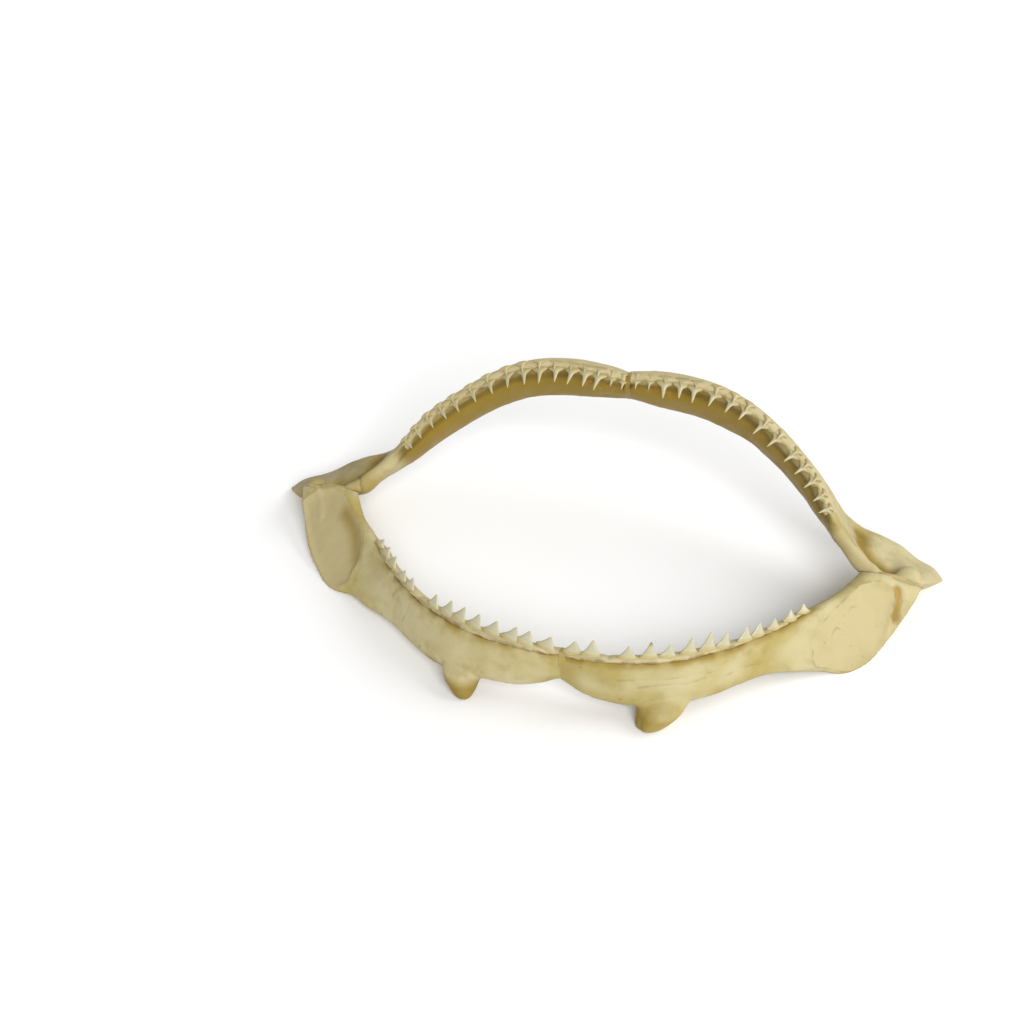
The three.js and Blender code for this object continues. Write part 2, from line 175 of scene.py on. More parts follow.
# ---- sizes and colours a user would change ----
class JawForm(bpy.types.PropertyGroup):
    """Sizes of the jaw's surface detail."""

    grain: bpy.props.FloatProperty(
        name="Mesh grain", description="Size of the small squares the cartilage is skinned with",
        default=0.0008, min=0.0005, max=0.004, subtype="DISTANCE", unit="LENGTH")
    wobble: bpy.props.FloatProperty(
        name="Drying wobble", description="Height of the broad waves that drying leaves in cartilage",
        default=0.0006, min=0.0, max=0.003, subtype="DISTANCE", unit="LENGTH")
    upper_tooth: bpy.props.FloatProperty(
        name="Upper tooth height", description="Height of a full upper crown above its gum",
        default=0.0110, min=0.004, max=0.03, subtype="DISTANCE", unit="LENGTH")
    upper_width: bpy.props.FloatProperty(
        name="Upper tooth width", description="Width of a full upper tooth at its root",
        default=0.0116, min=0.004, max=0.03, subtype="DISTANCE", unit="LENGTH")
    lower_tooth: bpy.props.FloatProperty(
        name="Lower tooth height", description="Height of a full lower crown above its root",
        default=0.0114, min=0.004, max=0.03, subtype="DISTANCE", unit="LENGTH")
    lower_width: bpy.props.FloatProperty(
        name="Lower tooth width", description="Width of a full lower tooth across its root",
        default=0.0098, min=0.004, max=0.03, subtype="DISTANCE", unit="LENGTH")
    gum: bpy.props.FloatProperty(
        name="Gum thickness", description="How far the dried gum stands proud of the cartilage",
        default=0.0007, min=0.0002, max=0.003, subtype="DISTANCE", unit="LENGTH")


class JawFinish(bpy.types.PropertyGroup):
    """Colours of the jaw and its stage."""

    cream: bpy.props.FloatVectorProperty(
        name="Cream", description="Palest dried cartilage", subtype="COLOR", size=3,
        min=0, max=1, default=(0.485, 0.425, 0.235))
    straw: bpy.props.FloatVectorProperty(
        name="Straw", description="Yellower cartilage between the pale stretches", subtype="COLOR",
        size=3, min=0, max=1, default=(0.375, 0.30, 0.10))
    # Ochre is oil stain, and is also laid on as painted shade in hollows, on undersides and on the
    # tongue side.
    ochre: bpy.props.FloatVectorProperty(
        name="Ochre", description="Oil-stained cartilage inside the arches", subtype="COLOR", size=3,
        min=0, max=1, default=(0.25, 0.165, 0.020))
    # The darkest colour is oil stain and painted shade together, under the lower teeth and on the
    # knobs' shaded faces.
    deep_stain_and_shade: bpy.props.FloatVectorProperty(
        name="Deep", description="Darkest oil stain, under the lower teeth", subtype="COLOR", size=3,
        min=0, max=1, default=(0.125, 0.078, 0.004))
    crack: bpy.props.FloatVectorProperty(
        name="Crack", description="Dirt in cracks and seams", subtype="COLOR", size=3,
        min=0, max=1, default=(0.12, 0.065, 0.015))
    film: bpy.props.FloatVectorProperty(
        name="Film", description="Pinkish dried film on the muscle hollows", subtype="COLOR", size=3,
        min=0, max=1, default=(0.46, 0.385, 0.20))
    tooth: bpy.props.FloatVectorProperty(
        name="Tooth", description="Enamel of the crowns", subtype="COLOR", size=3,
        min=0, max=1, default=(0.46, 0.435, 0.285))
    root: bpy.props.FloatVectorProperty(
        name="Root", description="Roots of the teeth", subtype="COLOR", size=3,
        min=0, max=1, default=(0.44, 0.36, 0.16))
    gum: bpy.props.FloatVectorProperty(
        name="Gum", description="Dried gum along the tooth edge", subtype="COLOR", size=3,
        min=0, max=1, default=(0.46, 0.37, 0.18))
    ligament: bpy.props.FloatVectorProperty(
        name="Ligament", description="Dried ligament in the hinges", subtype="COLOR", size=3,
        min=0, max=1, default=(0.50, 0.26, 0.06))
    floor: bpy.props.FloatVectorProperty(
        name="Floor", description="Pale studio floor", subtype="COLOR", size=3,
        min=0, max=1, default=(0.93, 0.93, 0.93))


# ---- curves and sections ----
def spline(points, t):
    """Centripetal curve through the points at t from 0 to 1, an equal share of t to each span."""
    points = np.asarray(points, float)
    last = len(points) - 1
    place = t * last
    i = min(int(math.floor(place)), last - 1)
    w = place - i
    p1, p2 = points[i], points[i + 1]
    p0 = points[i - 1] if i > 0 else 2 * p1 - p2
    p3 = points[i + 2] if i + 2 <= last else 2 * p2 - p1
    step = [np.sum((b - a) ** 2) ** 0.25 for a, b in ((p0, p1), (p1, p2), (p2, p3))]
    step[1] = step[1] if step[1] > 1e-4 else 1.0
    step = [length if length > 1e-4 else step[1] for length in step]
    t1 = (p1 - p0) / step[0] - (p2 - p0) / (step[0] + step[1]) + (p2 - p1) / step[1]
    t2 = (p2 - p1) / step[1] - (p3 - p1) / (step[1] + step[2]) + (p3 - p2) / step[2]
    t1, t2 = t1 * step[1], t2 * step[1]
    return (p1 + t1 * w + (-3 * p1 + 3 * p2 - 2 * t1 - t2) * w ** 2
            + (2 * p1 - 2 * p2 + t1 + t2) * w ** 3)


def lower_point(corner):
    """A corner of the leaning arch in the jaw's frame."""
    x, up, out = corner
    return np.array([x, 0.0, LOWER_Z]) + UP_PLANE * up + OUT_PLANE * out


class Cartilage:
    """One half of an arch: four corner curves with a soft oval section between them."""

    def __init__(self, stations, place, warp, rise, up):
        self.count = len(stations)
        self.dishes = [s[4] for s in stations]
        self.curves = [[] for _ in range(4)]
        lift = [(i * 10, height) for i, height in enumerate(rise)]
        for i, station in enumerate(stations):
            shift = spline(warp, i / (self.count - 1))
            raised = spline(lift, i / (self.count - 1))[1]
            for c in range(4):
                corner = np.array(station[c]) + shift * (0.3 if c < 2 else 1.0)
                corner[up] += raised if c < 2 else 0.0
                self.curves[c].append(place(corner))

    def corners(self, t):
        return [spline(curve, t) for curve in self.curves]

    def on(self, t, p, q):
        """Point of the section: p from lip (-1) to tongue (1), q from far edge (-1) to teeth (1)."""
        tip_lip, tip_tongue, far_tongue, far_lip = self.corners(t)
        u, v = (p + 1) / 2, (q + 1) / 2
        low = far_lip * (1 - u) + far_tongue * u
        high = tip_lip * (1 - u) + tip_tongue * u
        point = low * (1 - v) + high * v
        if p < 0:
            inward = far_tongue - far_lip
            inward = inward / np.linalg.norm(inward)
            dish = np.interp(t * (self.count - 1), range(self.count), self.dishes)
            point = point + inward * dish * (1 - q * q) * min(1, -p * 1.5)
        return point

    def round(self, t, angle, power=3.0):
        """Point of the soft oval at an angle: 0 is the tongue side, a quarter turn the teeth."""
        def soft(v):
            return math.copysign(abs(v) ** (2 / power), v)
        return self.on(t, soft(math.cos(angle)), soft(math.sin(angle)))

    def ring(self, t, count):
        return [self.round(t, 2 * math.pi * (k + 0.5) / count) for k in range(count)]

    def middle(self, t):
        return sum(self.corners(t)) / 4

    def at_x(self, x):
        """Where the tooth edge passes a given x."""
        low, high = 0.0, 0.9
        for _ in range(24):
            mid = (low + high) / 2
            if self.corners(mid)[0][0] < x:
                low = mid
            else:
                high = mid
        return low


HALVES = {
    f"{arch}_{hand}": Cartilage(stations, place, WARP[f"{arch}_{hand}"], RISE[f"{arch}_{hand}"], up)
    for arch, stations, place, up in (("upper", UPPER, np.array, 2), ("lower", LOWER, lower_point, 1))
    for hand, _ in SIDES
}


def unit(v):
    v = np.asarray(v, float)
    return v / max(np.linalg.norm(v), 1e-9)


def to_frame(point, side):
    """From the jaw's millimetres to the CAD frame's metres."""
    return Vector(((point[0] * side + MIDLINE_X) * MM, (point[1] + HINGE_Y) * MM, point[2] * MM))


# ---- mesh helpers ----
def start_clean():
    if bpy.context.mode != "OBJECT":
        bpy.ops.object.mode_set(mode="OBJECT")
    bpy.ops.object.select_all(action="DESELECT")


def activate(obj):
    start_clean()
    obj.select_set(True)
    bpy.context.view_layer.objects.active = obj


def apply_modifier(obj, kind, **settings):
    activate(obj)
    modifier = obj.modifiers.new(kind.title(), kind)
    for key, value in settings.items():
        setattr(modifier, key, value)
    bpy.ops.object.modifier_apply(modifier=modifier.name)


def loft(name, rings, side):
    """A closed tube: a filled circle is extruded end on, and each end is laid on its section."""
    start_clean()
    count = len(rings[0])
    bpy.ops.mesh.primitive_circle_add(vertices=count, radius=MM, fill_type="NGON")
    obj = bpy.context.object
    obj.name = name
    bpy.ops.object.mode_set(mode="EDIT")
    bpy.ops.mesh.select_all(action="SELECT")
    bm = bmesh.from_edit_mesh(obj.data)
    slot = bm.verts.layers.int.new("slot")
    for k, vert in enumerate(bm.verts):
        vert[slot] = k
    for step, ring in enumerate(rings):
        if step:
            bpy.ops.mesh.extrude_region_move()
            bm = bmesh.from_edit_mesh(obj.data)
            slot = bm.verts.layers.int["slot"]
        for vert in bm.verts:
            if vert.select:
                vert.co = to_frame(ring[vert[slot]], side)
        bmesh.update_edit_mesh(obj.data)
    bpy.ops.mesh.select_all(action="SELECT")
    bpy.ops.mesh.normals_make_consistent(inside=False)
    bpy.ops.object.mode_set(mode="OBJECT")
    obj.data.attributes.remove(obj.data.attributes["slot"])
    return obj


def ellipsoid(name, centre, radii, side, axes=np.eye(3)):
    """A lump: a sphere stretched along three directions."""
    start_clean()
    bpy.ops.mesh.primitive_uv_sphere_add(segments=24, ring_count=16, radius=1.0)
    obj = bpy.context.object
    obj.name = name
    for vert in obj.data.vertices:
        local = sum(vert.co[i] * radii[i] * unit(axes[i]) for i in range(3))
        vert.co = to_frame(np.asarray(centre) + local, side)
    outward(obj)
    return obj


def outward(obj):
    activate(obj)
    bpy.ops.object.mode_set(mode="EDIT")
    bpy.ops.mesh.select_all(action="SELECT")
    bpy.ops.mesh.normals_make_consistent(inside=False)
    bpy.ops.object.mode_set(mode="OBJECT")


def join(name, parts):
    start_clean()
    for part in parts:
        part.select_set(True)
    bpy.context.view_layer.objects.active = parts[0]
    if len(parts) > 1:
        bpy.ops.object.join()
    parts[0].name = name
    parts[0].data.name = name
    return parts[0]


def cut(obj, point, normal, side, keep_below=True):
    """Cut a closed mesh by a plane and close the cut."""
    activate(obj)
    bpy.ops.object.mode_set(mode="EDIT")
    bpy.ops.mesh.select_all(action="SELECT")
    facing = np.array([normal[0] * side, normal[1], normal[2]])
    bpy.ops.mesh.bisect(
        plane_co=to_frame(point, side), plane_no=Vector(facing), use_fill=True,
        clear_outer=keep_below, clear_inner=not keep_below)
    bpy.ops.object.mode_set(mode="OBJECT")


def read_points(obj, side):
    """Vertex places in the jaw's own millimetres, and their normals on the same side."""
    flat = np.empty(len(obj.data.vertices) * 3)
    obj.data.vertices.foreach_get("co", flat)
    points = flat.reshape(-1, 3) / MM - np.array([MIDLINE_X, HINGE_Y, 0.0])
    points[:, 0] *= side
    obj.data.vertices.foreach_get("normal", flat)
    normals = flat.reshape(-1, 3).copy()
    normals[:, 0] *= side
    return points, normals


def write_points(obj, points, side):
    placed = points.copy()
    placed[:, 0] *= side
    placed = (placed + np.array([MIDLINE_X, HINGE_Y, 0.0])) * MM
    obj.data.vertices.foreach_set("co", placed.ravel())
    obj.data.update()


def write_mask(obj, name, values):
    layer = obj.data.attributes.get(name) or obj.data.attributes.new(name, "FLOAT", "POINT")
    layer.data.foreach_set("value", np.clip(values, 0, 1).astype(np.float32))


def near_line(points, line):
    """Distance of each point from a chain of straight pieces."""
    line = np.asarray(line, float)
    best = np.full(len(points), 1e9)
    for a, b in zip(line[:-1], line[1:]):
        span = b - a
        share = np.clip((points - a) @ span / max(span @ span, 1e-9), 0, 1)
        best = np.minimum(best, np.linalg.norm(points - a - share[:, None] * span, axis=1))
    return best


def bell(distance, radius):
    return np.exp(-(distance / radius) ** 2)


def ramp(value, low, high):
    s = np.clip((value - low) / (high - low), 0, 1)
    return s * s * (3 - 2 * s)


def waves(points, scale, seed):
    """Soft random waves, one value a point, from -1 to 1."""
    shift = Vector((seed * 7.1, seed * 3.7, seed * 5.3))
    return np.array([noise.noise(Vector(p) / scale + shift) for p in points])


def smooth_shade(obj):
    activate(obj)
    bpy.ops.object.shade_smooth()


def press_inside(obj):
    """Keep a piece's top and back softly inside the CAD box."""
    flat = np.empty(len(obj.data.vertices) * 3)
    obj.data.vertices.foreach_get("co", flat)
    points = flat.reshape(-1, 3)
    for axis in (1, 2):
        over = points[:, axis] - (CAD_BOX[1][axis] - 0.5 * MM)
        points[:, axis] -= 0.5 * (over + np.sqrt(over * over + (0.5 * MM) ** 2))
    obj.data.vertices.foreach_set("co", points.ravel())
    obj.data.update()


def finish_piece(obj, slot, *nodes):
    press_inside(obj)
    smooth_shade(obj)
    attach(obj, "root")
    if nodes:
        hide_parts(*nodes)


# ---- shader helpers ----
class Signal:
    """A node's output that can be used in sums and products."""

    def __init__(self, net, socket):
        self.net = net
        self.socket = socket

    def _math(self, operation, first, second=None):
        values = {0: first}
        if second is not None:
            values[1] = second
        return self.net.node("ShaderNodeMath", {"operation": operation}, values)

    def __add__(self, other):
        return self._math("ADD", self, other)

    def __radd__(self, other):
        return self._math("ADD", other, self)

    def __sub__(self, other):
        return self._math("SUBTRACT", self, other)

    def __rsub__(self, other):
        return self._math("SUBTRACT", other, self)

    def __mul__(self, other):
        return self._math("MULTIPLY", self, other)

    def __rmul__(self, other):
        return self._math("MULTIPLY", other, self)

    def between(self, low, high):
        """0 below low, 1 above high, smooth between."""
        return self.net.node("ShaderNodeMapRange", {"interpolation_type": "SMOOTHSTEP"},
                             {"Value": self, "From Min": low, "From Max": high})


class Net:
    """The node tree of one finish."""

    def __init__(self, name):
        self.material = bpy.data.materials.new(name)
        self.material.use_nodes = True
        self.tree = self.material.node_tree
        self.tree.nodes.clear()
        self.output = self.tree.nodes.new("ShaderNodeOutputMaterial")

    def node(self, kind, settings=None, values=None, out=0):
        made = self.tree.nodes.new(kind)
        for key, value in (settings or {}).items():
            setattr(made, key, value)
        for key, value in (values or {}).items():
            socket = made.inputs[key]
            if isinstance(value, Signal):
                self.tree.links.new(value.socket, socket)
            else:
                socket.default_value = value
        return Signal(self, made.outputs[out])

    def place(self):
        return self.node("ShaderNodeTexCoord", out=3)

    def clouds(self, scale, detail=3.0, rough=0.55):
        """Soft noise from 0 to 1, fixed to the piece's own place."""
        values = {"Vector": self.place(), "Scale": scale, "Detail": detail, "Roughness": rough}
        return self.node("ShaderNodeTexNoise", None, values)

    def mask(self, name):
        return self.node("ShaderNodeAttribute", {"attribute_name": name}, out=2)

    def blend(self, factor, low, high):
        values = {0: factor, 6: _rgba(low), 7: _rgba(high)}
        return self.node("ShaderNodeMix", {"data_type": "RGBA"}, values, out=2)

    def bump(self, height, strength, distance, below=None):
        values = {"Strength": strength, "Distance": distance, "Height": height}
        if below is not None:
            values["Normal"] = below
        return self.node("ShaderNodeBump", None, values)

    def surface(self, values):
        shader = self.node("ShaderNodeBsdfPrincipled", None, values)
        self.tree.links.new(shader.socket, self.output.inputs["Surface"])
        return self.material


def _rgba(colour):
    return colour if isinstance(colour, Signal) else (*colour, 1.0)


# ---- finishes ----
def cartilage_finish(finish):
    """Satin dried cartilage: cream and straw in long soft stretches, ochre stain and painted shade
    inside, dirt in cracks.
    """
    net = Net("dried_cartilage")
    broad = net.clouds(26.0, 3.0).between(0.36, 0.66)
    colour = net.blend(broad, finish.cream, finish.straw)
    mottled = net.clouds(140.0, 4.0, 0.6).between(0.42, 0.78)
    colour = net.blend(mottled * 0.35, colour, finish.ochre)
    # Pale tissue, and a pale band along the bars that is partly a painted highlight.
    colour = net.blend(net.mask("pale") * 0.85, colour, finish.cream)
    film = net.mask("film")
    colour = net.blend(film * 0.75, colour, finish.film)
    # Ochre from the shade mask: partly oil stain, partly painted shade.
    shade = net.mask("shade")
    uneven = net.clouds(55.0, 4.0, 0.6)
    colour = net.blend((shade * (uneven * 0.7 + 0.62)).between(0.05, 0.95), colour, finish.ochre)
    specks = net.clouds(620.0, 2.0, 0.5).between(0.70, 0.76) * net.clouds(60.0).between(0.5, 0.62)
    crack = net.mask("crack")
    broken = net.clouds(420.0, 3.0, 0.6).between(0.30, 0.55)
    dirt = (specks * 0.35 + crack * (broken * 0.5 + 0.5)).between(0.0, 1.0)
    colour = net.blend(dirt * 0.85, colour, finish.crack)
    stain = net.mask("stain")
    colour = net.blend(stain * 0.8, colour, finish.ligament)
    rough = net.clouds(90.0).between(0.3, 0.7) * 0.16 + 0.40 + crack * 0.25
    fine = net.bump(net.clouds(900.0, 4.0, 0.6), 0.25, 0.00025)
    # The darkest colour: oil stain and painted shade under the lower teeth and on the knobs.
    colour = net.blend(net.mask("deep_stain_and_shade") * 0.85, colour, finish.deep_stain_and_shade)
    pits = net.bump(net.clouds(260.0, 3.0, 0.55), 0.30, 0.0005, fine)
    return net.surface({
        "Base Color": colour, "Roughness": rough, "Normal": pits,
        "Subsurface Weight": 0.12, "Subsurface Radius": (1.0, 0.6, 0.25),
        "Subsurface Scale": 0.003, "Specular IOR Level": 0.2})


def tooth_finish(finish):
    """Glossy ivory crowns that yellow towards the root."""
    net = Net("shark_tooth")
    root = net.mask("root")
    tone = net.clouds(160.0, 3.0)
    colour = net.blend((root + (tone - 0.5) * 0.35).between(0.05, 0.85), finish.tooth, finish.root)
    dirt = net.mask("crack")
    colour = net.blend(dirt * 0.8, colour, finish.crack)
    rough = root * 0.22 + 0.24
    return net.surface({
        "Base Color": colour, "Roughness": rough,
        "Normal": net.bump(net.clouds(700.0, 3.0), 0.2, 0.0002),
        "Subsurface Weight": 0.25, "Subsurface Radius": (1.0, 0.8, 0.55),
        "Subsurface Scale": 0.0025, "Coat Weight": 0.2, "Coat Roughness": 0.15})


def gum_finish(finish):
    """Dried gum: pinkish cream with brown at its edges, and ochre painted shade where the shade mask
    lies.
    """
    net = Net("dried_gum")
    tone = net.clouds(120.0, 4.0, 0.6).between(0.3, 0.7)
    colour = net.blend(tone, finish.gum, finish.cream)
    colour = net.blend(net.mask("shade") * (net.clouds(70.0) * 0.6 + 0.6), colour, finish.ochre)
    edge = net.mask("crack") * net.clouds(210.0, 3.0, 0.6).between(0.25, 0.6)
    colour = net.blend(edge * 0.8, colour, finish.crack)
    rough = tone * 0.15 + 0.42
    wrinkles = net.bump(net.clouds(420.0, 4.0, 0.65), 0.45, 0.0004)
    return net.surface({
        "Base Color": colour, "Roughness": rough, "Normal": wrinkles,
        "Subsurface Weight": 0.12, "Subsurface Radius": (1.0, 0.6, 0.3),
        "Subsurface Scale": 0.002})


def floor_finish(finish):
    net = Net("studio_floor")
    tone = net.clouds(3.0, 2.0)
    colour = net.blend(tone * 0.04, finish.floor, (0.86, 0.86, 0.86))
    return net.surface({"Base Color": colour, "Roughness": 0.75})


FINISHES = {}


def finish_named(name):
    """One material of each kind, made the first time it is asked for."""
    makers = {"cartilage": cartilage_finish, "tooth": tooth_finish, "gum": gum_finish,
              "floor": floor_finish}
    if name not in FINISHES:
        FINISHES[name] = makers[name](bpy.context.scene.jaw_finish)
    return FINISHES[name]


def dress(obj, name):
    obj.data.materials.clear()
    obj.data.materials.append(finish_named(name))


# ---- cartilage ----
# Lines and outlines on a half are given by t, from the middle line to the hinge, and by the turn
# round the section in degrees: 0 on the tongue side, 90 on the tooth edge, 180 on the lip side.
GUM_END = 0.66
GUM_EDGE = {
    "upper_right": (124, 116, 121, 116, 104, 104, 100),
    "upper_left": (130, 121, 122, 112, 108, 112, 108),
    "lower_right": (168, 168, 166, 165, 162, 160, 158),
    "lower_left": (168, 168, 166, 165, 162, 160, 158),
}
FILM = {
    "upper_right": ((0.61, 176), (0.594, 198), (0.60, 216), (0.66, 222), (0.72, 234), (0.769, 242),
                    (0.797, 226), (0.842, 200), (0.89, 180), (0.885, 163), (0.845, 140),
                    (0.805, 122), (0.74, 134), (0.66, 156)),
    "upper_left": ((0.86, 124), (0.79, 116), (0.73, 114), (0.69, 140), (0.654, 174), (0.637, 198),
                   (0.66, 226), (0.704, 240), (0.80, 244), (0.88, 236), (0.925, 226),
                   (0.93, 180), (0.90, 140)),
}
CRACKS = {
    "upper_right": (
        ((0.16, 172), (0.20, 170), (0.24, 169), (0.28, 171), (0.33, 175)),
        ((0.19, 180), (0.23, 178), (0.27, 180), (0.30, 179)),
        ((0.345, 182), (0.38, 180), (0.42, 182)),
        ((0.60, 216), (0.63, 221), (0.66, 222)),
        ((0.67, 180), (0.70, 172), (0.715, 178)),
        ((0.74, 165), (0.76, 160), (0.78, 168)),
    ),
    "upper_left": (
        ((0.20, 186), (0.205, 200), (0.22, 212)),
        ((0.39, 150), (0.392, 172), (0.40, 186)),
        ((0.45, 140), (0.455, 160), (0.462, 180)),
        ((0.86, 124), (0.875, 110), (0.90, 100)),
        ((0.87, 92), (0.89, 84), (0.93, 88)),
    ),
    "lower_right": (
        ((0.80, 150), (0.83, 140), (0.85, 124)),
        ((0.62, 60), (0.645, 75), (0.66, 96)),
        ((0.94, 150), (0.95, 120), (0.96, 95)),
    ),
    "lower_left": (
        ((0.80, 112), (0.82, 140), (0.825, 170)),
        ((0.70, 48), (0.72, 70), (0.73, 90)),
        ((0.86, 130), (0.89, 150), (0.91, 166)),
    ),
}


# Small dark spots on the upper halves, and the torn borders above the left joint.
SPOTS = {"right": ((0.165, 202), (0.06, 158), (0.30, 112)), "left": ((0.20, 124), (0.33, 205))}
TORN_BORDERS = (((0.868, 104), (0.83, 160), (0.79, 176)), ((0.77, 150), (0.80, 100), (0.83, 80)))
# How strongly each upper half shows its oil stain and dirt, its ochre under the gum and on the knob,
# which is partly painted shade, and its pale band, which is partly a painted highlight.
STAIN_AND_LIGHT = {
    "right": {"film_edge": 0.45, "under_gum": 0.5, "dirt": 0.15, "knob": 0.50, "knob_deep": 0.0,
              "pale": 1.0},
    "left": {"film_edge": 0.2, "under_gum": 0.25, "dirt": 0.4, "knob": 0.75, "knob_deep": 0.06,
             "pale": 0.6},
}


def bar(name, half, side, around=36, each=4):
    steps = (half.count - 1) * each
    rings = [half.ring(i / steps, around) for i in range(steps + 1)]
    for point in rings[0]:
        point[0] = 0.3
    return loft(name, rings, side)


def knob(hand, side):
    """The orbital process: a flat-footed peg that spreads into the bar."""
    shape = KNOB[hand]
    rings = []
    for z, grow, back, splay in KNOB_LEVELS:
        wide = grow * shape["flare"]
        slide = KNOB_ACROSS * splay * shape["slide"]
        centre = np.array([shape["at"][0] + back * 0.5, shape["at"][1] + back, z])
        reach = (shape["short"] + min(wide, KNOB_MOST_GROWTH)) / 2 + splay * shape["splay"]
        ring = []
        for k in range(KNOB_AROUND):
            a = 2 * math.pi * k / KNOB_AROUND
            ring.append(centre + slide + KNOB_FAR * math.cos(a) * (shape["long"] + wide) / 2
                        + KNOB_ACROSS * math.sin(a) * reach)
        rings.append(ring)
    return loft("knob", rings, side)


def press_to_hinge(points, side_of_hinge):
    """Flatten what reaches across the hinge onto its own face of the hinge."""
    away = (points - HINGE) @ HINGE_NORMAL * side_of_hinge - HINGE_HALF_GAP
    soft = 0.5 * (away + np.sqrt(away * away + 0.6))
    close = np.linalg.norm(points - (HINGE + np.array([8.0, 0, 0])), axis=1) < 60
    shift = np.where(close & (away < 6), soft - away, 0.0)
    return points + HINGE_NORMAL * (side_of_hinge * shift)[:, None]


def press_to_floor(points):
    """Flatten the undersides that rest on the floor."""
    height = points[:, 2]
    soft = 0.5 * (height + np.sqrt(height * height + 0.2))
    points[:, 2] = np.where(height < 4, soft, height)
    return points


class Skin:
    """The closed skin of one half: carved in millimetres along its normals, then painted."""

    def __init__(self, obj, key, side, hinge_side, form):
        apply_modifier(obj, "REMESH", mode="VOXEL", voxel_size=form.grain, use_smooth_shade=True)
        apply_modifier(obj, "SMOOTH", factor=0.5, iterations=8)
        self.obj, self.key, self.side, self.half = obj, key, side, HALVES[key]
        write_points(obj, press_to_hinge(read_points(obj, side)[0], hinge_side), side)
        self.points, self.normals = read_points(obj, side)
        self.swell = np.zeros(len(self.points))
        self.masks = {name: np.zeros(len(self.points))
                      for name in ("shade", "deep_stain_and_shade", "film", "crack", "stain", "pale")}
        self.t, self.turn = self._places()

    def _places(self):
        """Where each vertex lies on the half: t and turn in degrees."""
        rows, columns = 150, 60
        tree = kdtree.KDTree(rows * columns)
        known = []
        for i in range(rows):
            for k in range(columns):
                a = 2 * math.pi * k / columns
                tree.insert(self.half.round(i / (rows - 1), a), len(known))
                known.append((i / (rows - 1), math.cos(a), math.sin(a)))
        tree.balance()
        known = np.array(known)
        found = []
        for point in self.points:
            near = tree.find_n(point, 4)
            weight = np.array([1 / (hit[2] ** 2 + 0.05) for hit in near])
            found.append(weight @ known[[hit[1] for hit in near]] / weight.sum())
        found = np.array(found)
        return found[:, 0], np.degrees(np.arctan2(found[:, 2], found[:, 1])) % 360

    def path(self, places, fine=6):
        """The line through some places of the half, in millimetres."""
        line = []
        for (t0, a0), (t1, a1) in zip(places[:-1], places[1:]):
            for i in range(fine):
                w = i / fine
                line.append(self.half.round(t0 + (t1 - t0) * w, math.radians(a0 + (a1 - a0) * w)))
        return line + [self.half.round(places[-1][0], math.radians(places[-1][1]))]

    def inside(self, outline):
        """1 for vertices inside an outline of places, else 0."""
        hit = np.zeros(len(self.points), bool)
        for (t0, a0), (t1, a1) in zip(outline, outline[1:] + outline[:1]):
            crosses = (a0 > self.turn) != (a1 > self.turn)
            where = t0 + (self.turn - a0) / (a1 - a0 if a1 != a0 else 1e-9) * (t1 - t0)
            hit ^= crosses & (self.t < where)
        return hit.astype(float)

    def near(self, line, radius):
        return bell(near_line(self.points, line), radius)

    def paint(self, name, values):
        self.masks[name] = np.maximum(self.masks[name], values)

    def carve(self, line, radius, height):
        self.swell += self.near(line, radius) * height

    def streak(self, mask, places, radius, strength=1.0):
        """Paint along a line of places."""
        self.paint(mask, self.near(self.path(places), radius) * strength)

    def relief(self, places, radius, height, mask, spread, strength=1.0):
        """Carve along a line of places, and paint it."""
        self.carve(self.path(places), radius, height)
        self.streak(mask, places, spread, strength)

    def waves(self, scale, seed):
        return waves(self.points, scale, seed)

    def crease(self, lines):
        """Fine drying cracks, broken here and there."""
        for i, places in enumerate(lines):
            line = self.path(places)
            broken = ramp(self.waves(6.0, i + 11), -0.4, 0.3)
            self.carve(line, 0.9, -0.2)
            self.paint("crack", self.near(line, 0.8) * broken * 0.4)

    def finish(self, *nodes):
        points = press_to_floor(self.points + self.normals * self.swell[:, None])
        write_points(self.obj, points, self.side)
        for name, values in self.masks.items():
            write_mask(self.obj, name, values)
        dress(self.obj, "cartilage")
        finish_piece(self.obj, "cartilage", *nodes)


def gum_turn(key, t):
    """Turn of the gum's lip border at t."""
    return float(np.interp(t / GUM_END, np.linspace(0, 1, 7), GUM_EDGE[key]))


